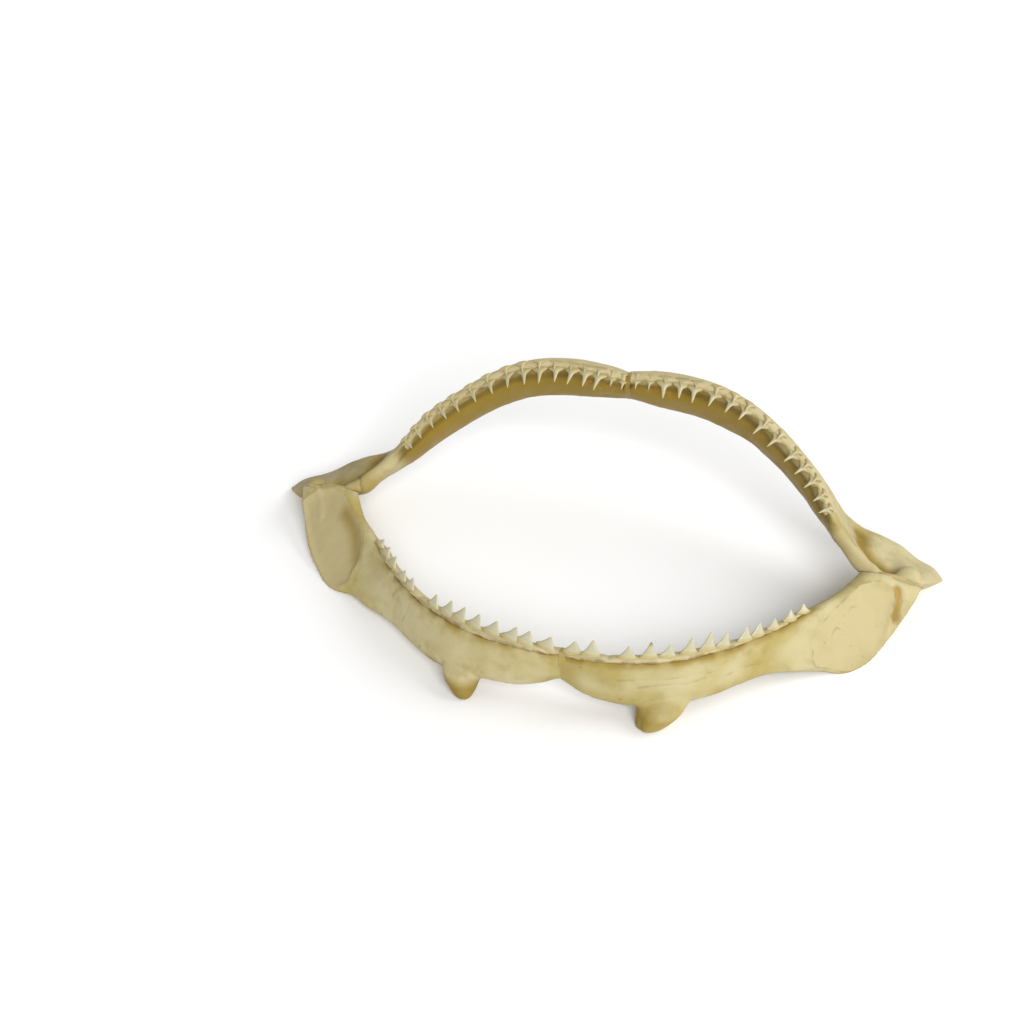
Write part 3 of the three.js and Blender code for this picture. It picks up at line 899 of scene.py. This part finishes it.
def upper_cartilage(hand, side, form):
    key = f"upper_{hand}"
    half, stain_and_light = HALVES[key], STAIN_AND_LIGHT[hand]
    body = join(f"upper_cartilage_{hand}", [bar("bar", half, side), knob(hand, side)])
    skin = Skin(body, key, side, -1, form)
    points, normals, t, turn = skin.points, skin.normals, skin.t, skin.turn
    wobble = form.wobble / MM
    skin.swell += skin.waves(16.0, 1 + side) * wobble + skin.waves(5.0, 3 + side) * wobble * 0.3
    # The hollow of the jaw muscle, under its dried film.
    hollow = skin.inside(FILM[key])
    rim = skin.path(FILM[key] + FILM[key][:1])
    edge = near_line(points, rim)
    depth = hollow * (1 - bell(edge, 3.0))
    skin.swell += hollow * 0.35 - depth * 1.2 + bell(edge, 1.6) * 0.5
    skin.paint("film", hollow * ramp(edge, 0.0, 1.2))
    crisp = bell(edge, 0.7) * ramp(skin.waves(5.0, 21), -0.3, 0.3)
    skin.paint("crack", crisp * stain_and_light["film_edge"])
    specks = ramp(skin.waves(1.7, 31), 0.42, 0.55) * ramp(skin.waves(9.0, 33), 0.0, 0.3)
    skin.paint("crack", hollow * specks * 0.35)
    # Ochre below the gum, on the tongue side and on the knob, partly oil stain and partly painted
    # shade.
    border = [half.round(i / 50 * GUM_END, math.radians(gum_turn(key, i / 50 * GUM_END) + 1.5))
              for i in range(51)]
    away = near_line(points, border)
    ragged = ramp(skin.waves(7.0, 45), -0.5, 0.3)
    under_gum = stain_and_light["under_gum"] + 0.4 * ragged
    skin.paint("shade", bell(away, 4.0) * under_gum * ramp(points[:, 0], 150, 120))
    soiled = stain_and_light["dirt"] + 0.6 * ragged
    skin.paint("crack", bell(away, 0.9) * soiled * ramp(t, 0.68, 0.62))
    skin.swell -= bell(away, 1.2) * 0.25
    # Painted shade and stain: faces turned towards +Y, the tongue side, are ochre.
    skin.paint("shade", ramp(normals[:, 1], 0.0, 0.8) * 0.8)
    on_knob = ramp(15 - points[:, 2], 0, 7) * ramp(-points[:, 1], 100, 112)
    # Painted shade: the knob's face turned to the left is darker.
    shaded_left_face = ramp(-normals[:, 0] * side, -0.2, 0.7)
    skin.paint("shade", on_knob * (stain_and_light["knob"] + 0.25 * shaded_left_face))
    skin.paint("deep_stain_and_shade", on_knob * (0.05 * shaded_left_face + stain_and_light["knob_deep"]))
    if hand == "right":
        skin.paint("shade", ramp(22 - points[:, 0], 0, 16) * ramp(turn, 90, 120) * 0.25)
    # Painted shade: the undersides are ochre.
    skin.paint("shade", ramp(turn, 214, 250) * 0.55)
    for place in SPOTS[hand]:
        skin.paint("crack", skin.near([half.round(place[0], math.radians(place[1]))] * 2, 0.9) * 0.8)
    if hand == "left":
        # The hollow is deepest on its inner side, under a fold, where its pit is darkened with painted
        # shade; its outer rim is pale.
        pit = ((0.80, 150), (0.74, 150), (0.68, 175))
        skin.relief(pit, 7.0, -1.2, "shade", 7.0, 0.6)
        ridge = ((0.955, 178), (0.897, 181), (0.855, 186))
        skin.relief(ridge, 2.2, 0.6, "pale", 3.0)
        fold = ((0.852, 123), (0.79, 117), (0.729, 112), (0.69, 142), (0.654, 174))
        skin.relief(fold, 1.2, -0.5, "crack", 0.9, 0.3)
        skin.streak("pale", ((0.92, 226), (0.817, 236), (0.72, 232)), 5.0)
        # Pale triangle of tissue over the joint.
        skin.streak("pale", ((0.94, 97), (0.90, 88), (0.86, 80)), 4.0)
    # A pale band along the middle of the bar, partly a painted highlight.
    pale_band_and_highlight = bell(turn - 176, 24) * ramp(skin.waves(22.0, 47), -0.5, 0.2) * ramp(t, 0.02, 0.08)
    skin.paint("pale", pale_band_and_highlight * stain_and_light["pale"])
    skin.crease(CRACKS[key])
    if hand == "right":
        # The film is torn along the hinge and shows amber tissue; its hollow is painted ochre, partly
        # as painted shade.
        torn = skin.path(((0.897, 181), (0.88, 190), (0.862, 201), (0.845, 214)))
        gap = near_line(points, torn) + skin.waves(5.0, 41) * 1.8
        skin.swell -= bell(gap, 2.4) * 0.9
        skin.paint("shade", bell(gap, 3.2) * 0.8)
        skin.paint("stain", bell(gap, 1.5) * ramp(t, 0.862, 0.885) * 0.65)
        skin.paint("crack", bell(gap - 2.9, 0.5) * ragged * 0.5)
        strap = ((0.885, 150), (0.90, 172), (0.92, 186), (0.905, 202))
        skin.relief(strap, 1.6, 0.5, "pale", 2.4)
        groove = [(46.4, -129.0, 1.0), (45.4, -127.0, 8.0), (44.5, -124.5, 15.0)]
        skin.carve(groove, 2.2, -1.5)
    skin.finish(f"upper_jaw_{hand}")


def lower_cartilage(hand, side, form):
    key = f"lower_{hand}"
    half = HALVES[key]
    ball = CONDYLE[hand]
    condyle = ellipsoid("condyle", ball["at"], ball["radii"], side)
    body = join(f"lower_cartilage_{hand}", [bar("bar", half, side), condyle])
    skin = Skin(body, key, side, 1, form)
    points, normals, t, turn = skin.points, skin.normals, skin.t, skin.turn
    wobble = form.wobble / MM
    skin.swell += skin.waves(16.0, 5 + side) * wobble + skin.waves(5.0, 7 + side) * wobble * 0.3
    # A trough under the teeth, ochre and darkest right below them, oil stain and painted shade
    # together, with a paler strip along its lower edge.
    row = ramp(0.70 - t, 0.0, 0.08)
    tongue = np.where(turn > 180, turn - 360, turn)
    trough = bell((tongue - 48) / 28, 1.0) * row
    skin.swell -= trough * 2.2
    skin.paint("shade", ramp(82 - tongue, 0, 16) * ramp(tongue + 100, 0, 30) * row * 0.95)
    patchy = 0.72 + 0.5 * skin.waves(9.0, 53) + 0.35 * skin.waves(24.0, 57)
    skin.paint("deep_stain_and_shade", ramp(tongue, 28, 52) * ramp(104 - tongue, 0, 12) * row * patchy)
    skin.paint("pale", bell((tongue + 12) / 14, 1.0) * row * 0.5)
    red = bell(t - 0.06, 0.035) * bell((tongue - 42) / 18, 1.0)
    skin.paint("stain", red * ramp(skin.waves(3.0, 51), 0.0, 0.25) * 0.9)
    # The plate behind the teeth: a valley, painted ochre partly as painted shade, the raised pad
    # before it and the boss of the hinge.
    valley = ((0.70, 190), (0.745, 172), (0.80, 165), (0.85, 160), (0.88, 166))
    skin.relief(valley, 6.5, -3.2, "shade", 6.5, 0.9)
    pad = ((0.69, 92), (0.73, 98), (0.78, 104), (0.83, 116))
    skin.relief(pad, 4.5, 1.5, "film", 4.5, 0.9)
    rim = skin.path(((0.66, 150), (0.72, 128), (0.78, 130), (0.84, 142)))
    skin.carve(rim, 1.3, -0.7)
    skin.paint("crack", skin.near(rim, 1.0) * ramp(skin.waves(5.0, 61), -0.1, 0.35) * 0.6)
    skin.relief(((0.87, 184), (0.90, 172), (0.93, 150)), 4.0, 1.4, "pale", 4.5)
    # The plate's tips: filmed on the right; on the left darker and yellower as painted shade.
    skin.paint("film" if hand == "right" else "shade", ramp(points[:, 0], 172, 186) * 0.5)
    if hand == "left":
        # Painted shade: the left plate is tinted ochre, darker and warmer.
        skin.paint("shade", ramp(t, 0.68, 0.78) * 0.4)
        # A pale triangle of tissue with torn borders above the joint.
        skin.streak("pale", ((0.795, 165), (0.83, 125), (0.86, 92)), 4.0)
        for border in TORN_BORDERS:
            skin.relief(border, 1.0, -0.4, "crack", 0.9, 0.6)
    skin.crease(CRACKS[key])
    skin.finish(f"lower_jaw_{hand}")


# ---- teeth ----
def tooth_pattern(name, levels, around=14):
    """One tooth, standing on the origin: height, half width, half depth, lean along, lean in."""
    start_clean()
    bpy.ops.mesh.primitive_circle_add(vertices=around, radius=1.0, fill_type="NGON")
    obj = bpy.context.object
    obj.name = name
    bpy.ops.object.mode_set(mode="EDIT")
    bpy.ops.mesh.select_all(action="SELECT")
    before = (0.0, 1.0, 1.0, 0.0, 0.0)
    for step, level in enumerate(levels):
        if step:
            bpy.ops.mesh.extrude_region_move()
        grow = (level[1] / before[1], level[2] / before[2], 1.0)
        centre = Vector((before[3], before[4], before[0]))
        bpy.ops.transform.resize(value=grow, center_override=centre)
        bpy.ops.transform.translate(value=(level[3] - before[3], level[4] - before[4],
                                           level[0] - before[0]))
        before = level
    bpy.ops.mesh.select_all(action="SELECT")
    bpy.ops.mesh.normals_make_consistent(inside=False)
    bpy.ops.object.mode_set(mode="OBJECT")
    return obj


# Height, half width, half depth, lean away from the middle, lean towards the tongue. The crown is
# one unit high and the root one unit wide.
UPPER_CROWN = (
    (-0.25, 0.48, 0.20, 0.0, 0.04), (-0.04, 0.57, 0.22, 0.0, 0.02), (0.06, 0.56, 0.20, 0.0, 0.01),
    (0.16, 0.48, 0.175, 0.0, 0.0), (0.28, 0.38, 0.155, 0.0, 0.01), (0.42, 0.29, 0.13, 0.0, 0.02),
    (0.58, 0.215, 0.105, 0.0, 0.035), (0.74, 0.15, 0.08, 0.0, 0.05), (0.88, 0.09, 0.05, 0.0, 0.06),
    (0.97, 0.045, 0.03, 0.0, 0.065), (1.0, 0.02, 0.015, 0.0, 0.065))
LOWER_CROWN = (
    (-0.12, 0.48, 0.20, 0.0, 0.03), (0.0, 0.55, 0.22, 0.0, 0.0), (0.07, 0.52, 0.19, 0.0, -0.01),
    (0.15, 0.36, 0.17, 0.0, -0.01), (0.23, 0.23, 0.155, 0.0, 0.0), (0.33, 0.165, 0.14, 0.0, 0.01),
    (0.48, 0.13, 0.12, 0.0, 0.03), (0.66, 0.10, 0.09, 0.01, 0.07),
    (0.84, 0.062, 0.055, 0.02, 0.13), (1.0, 0.016, 0.014, 0.03, 0.21))


def copy_tooth(pattern, name, matrix):
    obj = bpy.data.objects.new(name, pattern.data.copy())
    bpy.context.collection.objects.link(obj)
    obj.data.transform(matrix)
    if matrix.determinant() < 0:
        obj.data.flip_normals()
    return obj


def seat_matrix(half, x, side, set_in, size, lean, sink):
    """Where a tooth stands: its base on the tooth edge, its axes along, in and up."""
    t = half.at_x(x)
    lip, tongue, far_tongue, far_lip = half.corners(t)
    ahead = half.corners(min(t + 0.01, 1.0))[0]
    forward = unit(ahead - lip)
    inward = unit(tongue - lip)
    up = unit(lip + tongue - far_lip - far_tongue)
    up = unit(up + inward * lean[1] + forward * lean[0])
    inward = unit(inward - up * (inward @ up))
    along = unit(np.cross(inward, up))
    if along @ forward < 0:
        along = -along
    base = lip + (tongue - lip) * set_in - up * sink
    matrix = Matrix.Identity(4)
    for column, axis in enumerate((along * size[0], inward * size[1], up * size[2])):
        placed = to_frame(base + axis, side) - to_frame(base, side)
        for row in range(3):
            matrix[row][column] = placed[row]
    matrix.translation = to_frame(base, side)
    return matrix


def tooth_row(name, pattern, half, side, xs, lost, placing, seed):
    """Copies of one tooth along a half arch, joined into one row."""
    rng = random.Random(seed)
    heights = np.array([v.co.z for v in pattern.data.vertices])
    parts = []
    for i, x in enumerate(xs):
        turn = [rng.uniform(-1, 1) for _ in range(4)]
        if i in lost:
            continue
        set_in, size, lean, sink, aged_and_shaded = placing(i / len(xs), turn)
        size = (size[0], size[1], size[2] * TALLNESS.get((name, i), 1.0))
        matrix = seat_matrix(half, x, side, set_in, size, lean, sink)
        tooth = copy_tooth(pattern, f"{name}_{i}", matrix)
        # Older teeth take the root colour all over and dirt at the foot; on the lower rows, which lie
        # under the gum's scallops, this also darkens them as painted shade.
        write_mask(tooth, "root", np.maximum(1 - ramp(heights, 0.0, 0.42), aged_and_shaded))
        dark_tip = (0.9 if (name, i) in DARK_TIPS else 0.0) * ramp(heights, 0.7, 0.95)
        dirty_root = aged_and_shaded * (0.45 + 0.35 * turn[3]) * (1 - ramp(heights, -0.02, 0.18))
        write_mask(tooth, "crack", np.maximum(dark_tip, dirty_root))
        parts.append(tooth)
    row = join(name, parts)
    apply_modifier(row, "SUBSURF", levels=1, render_levels=1)
    dress(row, "tooth")
    finish_piece(row, "tooth")


def upper_placing(form, hand):
    """Blades of the upper jaw: leaning outwards on the right, a little inwards on the left."""
    swept = (0.12, 0.25) if hand == "right" else (-0.32, 0.15)

    def placing(share, turn):
        scale = min(1.0, 0.78 + 1.3 * share) * (1 - 0.66 * share ** 2.2)
        width = form.upper_width / MM * (1 - 0.22 * share) * (1 + 0.05 * turn[0])
        size = (width, width * 0.8, form.upper_tooth / MM * scale * (1 + 0.09 * turn[1]))
        lean = (swept[0] + swept[1] * share + 0.07 * turn[2], 0.14 * (1 - share) + 0.04 * turn[3])
        return 0.40, size, lean, -0.9 * (1 - share), 0.0
    return placing


def lower_placing(form):
    """The older lower row, folded out: only short spikes show past the gum."""
    def placing(share, turn):
        small = 0.5 if share < 0.08 else 1.0
        scale = (0.62 - 0.22 * share ** 2.0) * small
        width = form.lower_width / MM * (1 - 0.30 * share) * 0.9 * small
        size = (width, width * 0.9, form.lower_tooth / MM * scale * (1 + 0.10 * turn[1]))
        lean = (0.03 + 0.1 * share + 0.14 * turn[2], 1.25 - 0.35 * share + 0.15 * turn[3])
        return 0.20 - 0.06 * share, size, lean, -0.2, 0.5
    return placing


def spare_placing(form):
    """The younger lower row: arched roots side by side, long spikes leaning over the tongue."""
    def placing(share, turn):
        small = 0.5 if share < 0.08 else 1.0
        scale = (1 - 0.40 * share ** 2.0) * small
        width = form.lower_width / MM * (1 - 0.30 * share) * 1.02 * small
        size = (width, width * 0.8, form.lower_tooth / MM * scale * (1 + 0.07 * turn[1]))
        lean = (0.03 + 0.1 * share + 0.10 * turn[2], 1.35 - 0.35 * share + 0.12 * turn[3])
        return 0.56 - 0.26 * share ** 2, size, lean, -0.1, 0.35
    return placing


# ---- gum ----
def gum_strip(name, key, side, end, tongue_turn, scallop, crest, roof, form, seed):
    """A band of dried gum lapped over the tooth edge, scalloped between the teeth."""
    half = HALVES[key]
    steps, count = 220, 12
    thick = form.gum / MM
    seats = [half.at_x(x) for x in SEATS[key]]
    rings, border, verge = [], [], []
    for i in range(steps + 1):
        t = end * i / steps
        phase = float(np.interp(t, seats, range(len(seats))))
        wander = noise.noise(Vector((t * 46, seed, 0.3))) * 5 + noise.noise(
            Vector((t * 150, seed, 4.3))) * 2.5
        between = abs(math.sin(math.pi * phase)) ** 0.8
        raised = crest * (0.2 + 0.8 * between)
        first = math.radians(tongue_turn + wander + scallop * between)
        last = math.radians(gum_turn(key, t) + wander * 1.2)
        centre = half.middle(t)
        fade = min(1.0, (1 - i / steps) * 12) if i > steps / 2 else 1.0
        outer, inner = [], []
        for k in range(count):
            a = first + (last - first) * k / (count - 1)
            edge = half.round(t, a)
            share = k / (count - 1)
            lift = thick * min(1.0, 0.12 + 1.15 * math.sin(math.pi * share ** 0.6))
            lift *= 1 + 0.3 * noise.noise(Vector((t * 60, k * 0.6, seed + 5)))
            lift += raised * max(0.0, math.sin(a)) ** 6 * (1 - 0.6 * i / steps)
            lift *= fade
            lift = min(lift, roof) if k > count * 0.6 else lift
            direction = unit(edge - centre)
            outer.append(edge + direction * lift)
            inner.append(edge - direction * 1.6)
        border.append(outer[-1])
        verge.append(outer[0])
        ring = outer + inner[::-1]
        for point in ring:
            point[0] = max(point[0], 0.15)
        rings.append(ring)
    strip = loft(name, rings, side)
    apply_modifier(strip, "SUBSURF", levels=1, render_levels=1)
    points, normals = read_points(strip, side)
    edge = bell(near_line(points, border[::2]), 0.9)
    line = bell(near_line(points, verge[::2]), 0.6) * 0.5
    edge = np.maximum(edge, line) * ramp(waves(points, 6.0, seed), -0.5, 0.2)
    write_mask(strip, "crack", edge)
    # Painted shade: on the upper gum the faces turned towards +Y are ochre; on the lower gum ochre
    # lies along the tongue edge, under the scallops.
    if key.startswith("upper"):
        write_mask(strip, "shade", ramp(normals[:, 1], 0.2, 0.9) * 0.6)
    else:
        write_mask(strip, "shade", bell(near_line(points, verge[::2]), 1.6) * 0.9)
    dress(strip, "gum")
    finish_piece(strip, "cartilage")


# ---- ligaments ----
def hinge_ligament(hand, side):
    """The pad of dried ligament between upper and lower jaw."""
    long = unit((0.93, 0.1, -0.35))
    pad = ellipsoid(f"hinge_tissue_{hand}", (171, 3, 27), (12.5, 7, 5.2), side,
                    (long, HINGE_NORMAL, np.cross(long, HINGE_NORMAL)))
    cut(pad, HINGE + HINGE_NORMAL * PAD_HALF, HINGE_NORMAL, side)
    cut(pad, HINGE - HINGE_NORMAL * PAD_HALF, HINGE_NORMAL, side, keep_below=False)
    write_mask(pad, "film", np.full(len(pad.data.vertices), 0.8))
    write_mask(pad, "shade", np.full(len(pad.data.vertices), 0.4))
    dress(pad, "cartilage")
    finish_piece(pad, "ligament", f"hinge_ligament_{hand}")


def middle_collar(arch, reach, grow, crest):
    """Dried tissue drawn round an arch on the middle line, where its two halves meet."""
    rings = []
    for x, g in ((-1.0, -0.03), (-0.72, 0.0), (-0.36, 0.8), (0.0, 1.0), (0.36, 0.8), (0.72, 0.0),
                 (1.0, -0.03)):
        half = HALVES[f"{arch}_right" if x >= 0 else f"{arch}_left"]
        t = half.at_x(max(abs(x) * reach, 1.2))
        ring = half.ring(t, 40)
        if x == 0:
            other = HALVES[f"{arch}_left"].ring(t, 40)
            ring = [(p + q) / 2 for p, q in zip(ring, other)]
        centre = sum(ring) / len(ring)
        drawn = []
        for k, p in enumerate(ring):
            away = unit(p - centre)
            lift = grow * g if g > 0 else g * 30
            lift += crest * max(0.0, math.sin(2 * math.pi * (k + 0.5) / 40)) ** 6
            lift *= 1 + 0.3 * math.sin(k * 1.7) if g > 0 else 1
            q = p + away * lift
            drawn.append(np.array([x * reach + 0.25 * math.sin(k * 0.9), q[1], q[2]]))
        rings.append(drawn)
    pad = loft(f"{arch}_middle_tissue", rings, 1)
    apply_modifier(pad, "SUBSURF", levels=1, render_levels=1)
    points, normals = read_points(pad, 1)
    if arch == "upper":
        write_mask(pad, "shade", 0.10 + 0.25 * ramp(points[:, 0], -2.4, 1.6))
    else:
        # Painted shade: faces turned towards -Y are ochre, like the shaded tongue side beside them.
        write_mask(pad, "shade", ramp(-normals[:, 1], -0.2, 0.5) * 0.95)
    dress(pad, "cartilage")
    finish_piece(pad, "ligament", f"{arch}_symphysis")


# ---- operators ----
class JAW_OT_upper_cartilage(bpy.types.Operator):
    """Build the two halves of the upper jaw's cartilage"""
    bl_idname = "jaw.upper_cartilage"
    bl_label = "Upper Cartilage"

    def execute(self, context):
        for hand, side in SIDES:
            upper_cartilage(hand, side, context.scene.jaw_form)
        return {"FINISHED"}


class JAW_OT_lower_cartilage(bpy.types.Operator):
    """Build the two halves of the lower jaw's cartilage"""
    bl_idname = "jaw.lower_cartilage"
    bl_label = "Lower Cartilage"

    def execute(self, context):
        for hand, side in SIDES:
            lower_cartilage(hand, side, context.scene.jaw_form)
        return {"FINISHED"}


class JAW_OT_upper_teeth(bpy.types.Operator):
    """Set the broad blades of the upper jaw"""
    bl_idname = "jaw.upper_teeth"
    bl_label = "Upper Teeth"

    def execute(self, context):
        form = context.scene.jaw_form
        pattern = tooth_pattern("upper_pattern", UPPER_CROWN)
        for hand, side in SIDES:
            half = HALVES[f"upper_{hand}"]
            tooth_row(f"upper_teeth_{hand}", pattern, half, side, SEATS[f"upper_{hand}"],
                      LOST_TEETH[f"upper_{hand}"], upper_placing(form, hand), 11 + side)
        bpy.data.objects.remove(pattern)
        return {"FINISHED"}


class JAW_OT_lower_teeth(bpy.types.Operator):
    """Set the spiky front row of the lower jaw and the row that waits behind it"""
    bl_idname = "jaw.lower_teeth"
    bl_label = "Lower Teeth"

    def execute(self, context):
        form = context.scene.jaw_form
        pattern = tooth_pattern("lower_pattern", LOWER_CROWN)
        for hand, side in SIDES:
            half = HALVES[f"lower_{hand}"]
            seats = SEATS[f"lower_{hand}"]
            tooth_row(f"lower_teeth_{hand}", pattern, half, side, seats,
                      (), lower_placing(form), 21 + side)
            tooth_row(f"lower_spare_teeth_{hand}", pattern, half, side, seats, (),
                      spare_placing(form), 31 + side)
        bpy.data.objects.remove(pattern)
        return {"FINISHED"}


class JAW_OT_gums(bpy.types.Operator):
    """Lap dried gum over the tooth edge of each half"""
    bl_idname = "jaw.gums"
    bl_label = "Dried Gums"

    def execute(self, context):
        form = context.scene.jaw_form
        for hand, side in SIDES:
            upper, lower = HALVES[f"upper_{hand}"], HALVES[f"lower_{hand}"]
            gum_strip(f"upper_gum_{hand}", f"upper_{hand}", side, upper.at_x(132), 12, 0, 1.5,
                      9.0, form, 2 + side)
            gum_strip(f"lower_gum_{hand}", f"lower_{hand}", side, lower.at_x(132), 74, 14, 0.0,
                      0.3, form, 6 + side)
        return {"FINISHED"}


class JAW_OT_ligaments(bpy.types.Operator):
    """Pack the hinges and the middle line with dried tissue"""
    bl_idname = "jaw.ligaments"
    bl_label = "Dried Ligaments"

    def execute(self, context):
        for hand, side in SIDES:
            hinge_ligament(hand, side)
        middle_collar("upper", 2.4, 0.12, 1.3)
        middle_collar("lower", 1.8, 0.08, 0.2)
        return {"FINISHED"}


CAMERA_AT = (177.6, -960.8, 892.8)
CAMERA_TURN = math.radians(13.7)
CAMERA_RISE = math.radians(41.0)
FOCAL_PIXELS = 2200.0
PHOTO_PIXELS = 1024.0
# Name, where it stands, strength, and how wide it is in degrees.
LAMPS = (("front_light", (0.35, -0.70, 0.62), 2.5, 34), ("side_light", (0.85, 0.30, 0.60), 1.65, 50))
AIR_STRENGTH = 0.40


class JAW_OT_stage(bpy.types.Operator):
    """Lay the floor and set the lights and the camera"""
    bl_idname = "jaw.stage"
    bl_label = "Studio Stage"

    def execute(self, context):
        scene = context.scene
        start_clean()
        bpy.ops.mesh.primitive_plane_add(size=12.0)
        floor = context.object
        floor.name = "studio_floor"
        dress(floor, "floor")
        for lamp in LAMPS:
            self.sun(*lamp)
        world = bpy.data.worlds.new("studio_air")
        world.use_nodes = True
        world.node_tree.nodes["Background"].inputs["Color"].default_value = (1.0, 1.0, 1.0, 1.0)
        world.node_tree.nodes["Background"].inputs["Strength"].default_value = AIR_STRENGTH
        scene.world = world
        scene.view_settings.view_transform = "Standard"
        self.camera(scene)
        return {"FINISHED"}

    @staticmethod
    def sun(name, towards, strength, spread):
        """A wide, soft lamp that stands in the given direction."""
        lamp = bpy.data.lights.new(name, "SUN")
        lamp.angle = math.radians(spread)
        lamp.energy = strength
        obj = bpy.data.objects.new(name, lamp)
        bpy.context.collection.objects.link(obj)
        obj.rotation_euler = Vector(towards).to_track_quat("Z", "Y").to_euler()

    @staticmethod
    def camera(scene):
        lens = bpy.data.cameras.new("photo_camera")
        lens.sensor_width = 36.0
        lens.lens = FOCAL_PIXELS / PHOTO_PIXELS * lens.sensor_width
        obj = bpy.data.objects.new("photo_camera", lens)
        scene.collection.objects.link(obj)
        turn, rise = CAMERA_TURN, CAMERA_RISE
        right = Vector((math.cos(turn), math.sin(turn), 0.0))
        up = Vector((-math.sin(turn) * math.sin(rise), math.cos(turn) * math.sin(rise),
                     math.cos(rise)))
        back = right.cross(up)
        matrix = Matrix((right, up, back)).transposed().to_4x4()
        matrix.translation = to_frame(CAMERA_AT, 1)
        obj.matrix_world = matrix
        scene.camera = obj


PIECES = (JAW_OT_upper_cartilage, JAW_OT_lower_cartilage, JAW_OT_upper_teeth, JAW_OT_lower_teeth,
          JAW_OT_gums, JAW_OT_ligaments, JAW_OT_stage)


class JAW_PT_panel(bpy.types.Panel):
    """Lists the jaw's sizes, colours and pieces"""
    bl_idname = "JAW_PT_panel"
    bl_label = "Shark Jaw"
    bl_space_type = "VIEW_3D"
    bl_region_type = "UI"
    bl_category = "Shark Jaw"

    def draw(self, context):
        layout = self.layout
        for group in (context.scene.jaw_form, context.scene.jaw_finish):
            box = layout.box()
            for name in group.bl_rna.properties.keys():
                if name not in ("rna_type", "name"):
                    box.prop(group, name)
        for piece in PIECES:
            layout.operator(piece.bl_idname)


CLASSES = (JawForm, JawFinish) + PIECES + (JAW_PT_panel,)


def register():
    for cls in CLASSES:
        bpy.utils.register_class(cls)
    bpy.types.Scene.jaw_form = bpy.props.PointerProperty(type=JawForm)
    bpy.types.Scene.jaw_finish = bpy.props.PointerProperty(type=JawFinish)


def unregister():
    del bpy.types.Scene.jaw_finish
    del bpy.types.Scene.jaw_form
    for cls in reversed(CLASSES):
        bpy.utils.unregister_class(cls)


def main():
    register()
    bpy.ops.jaw.upper_cartilage()
    bpy.ops.jaw.lower_cartilage()
    bpy.ops.jaw.upper_teeth()
    bpy.ops.jaw.lower_teeth()
    bpy.ops.jaw.gums()
    bpy.ops.jaw.ligaments()
    bpy.ops.jaw.stage()


if __name__ == "__main__":
    main()
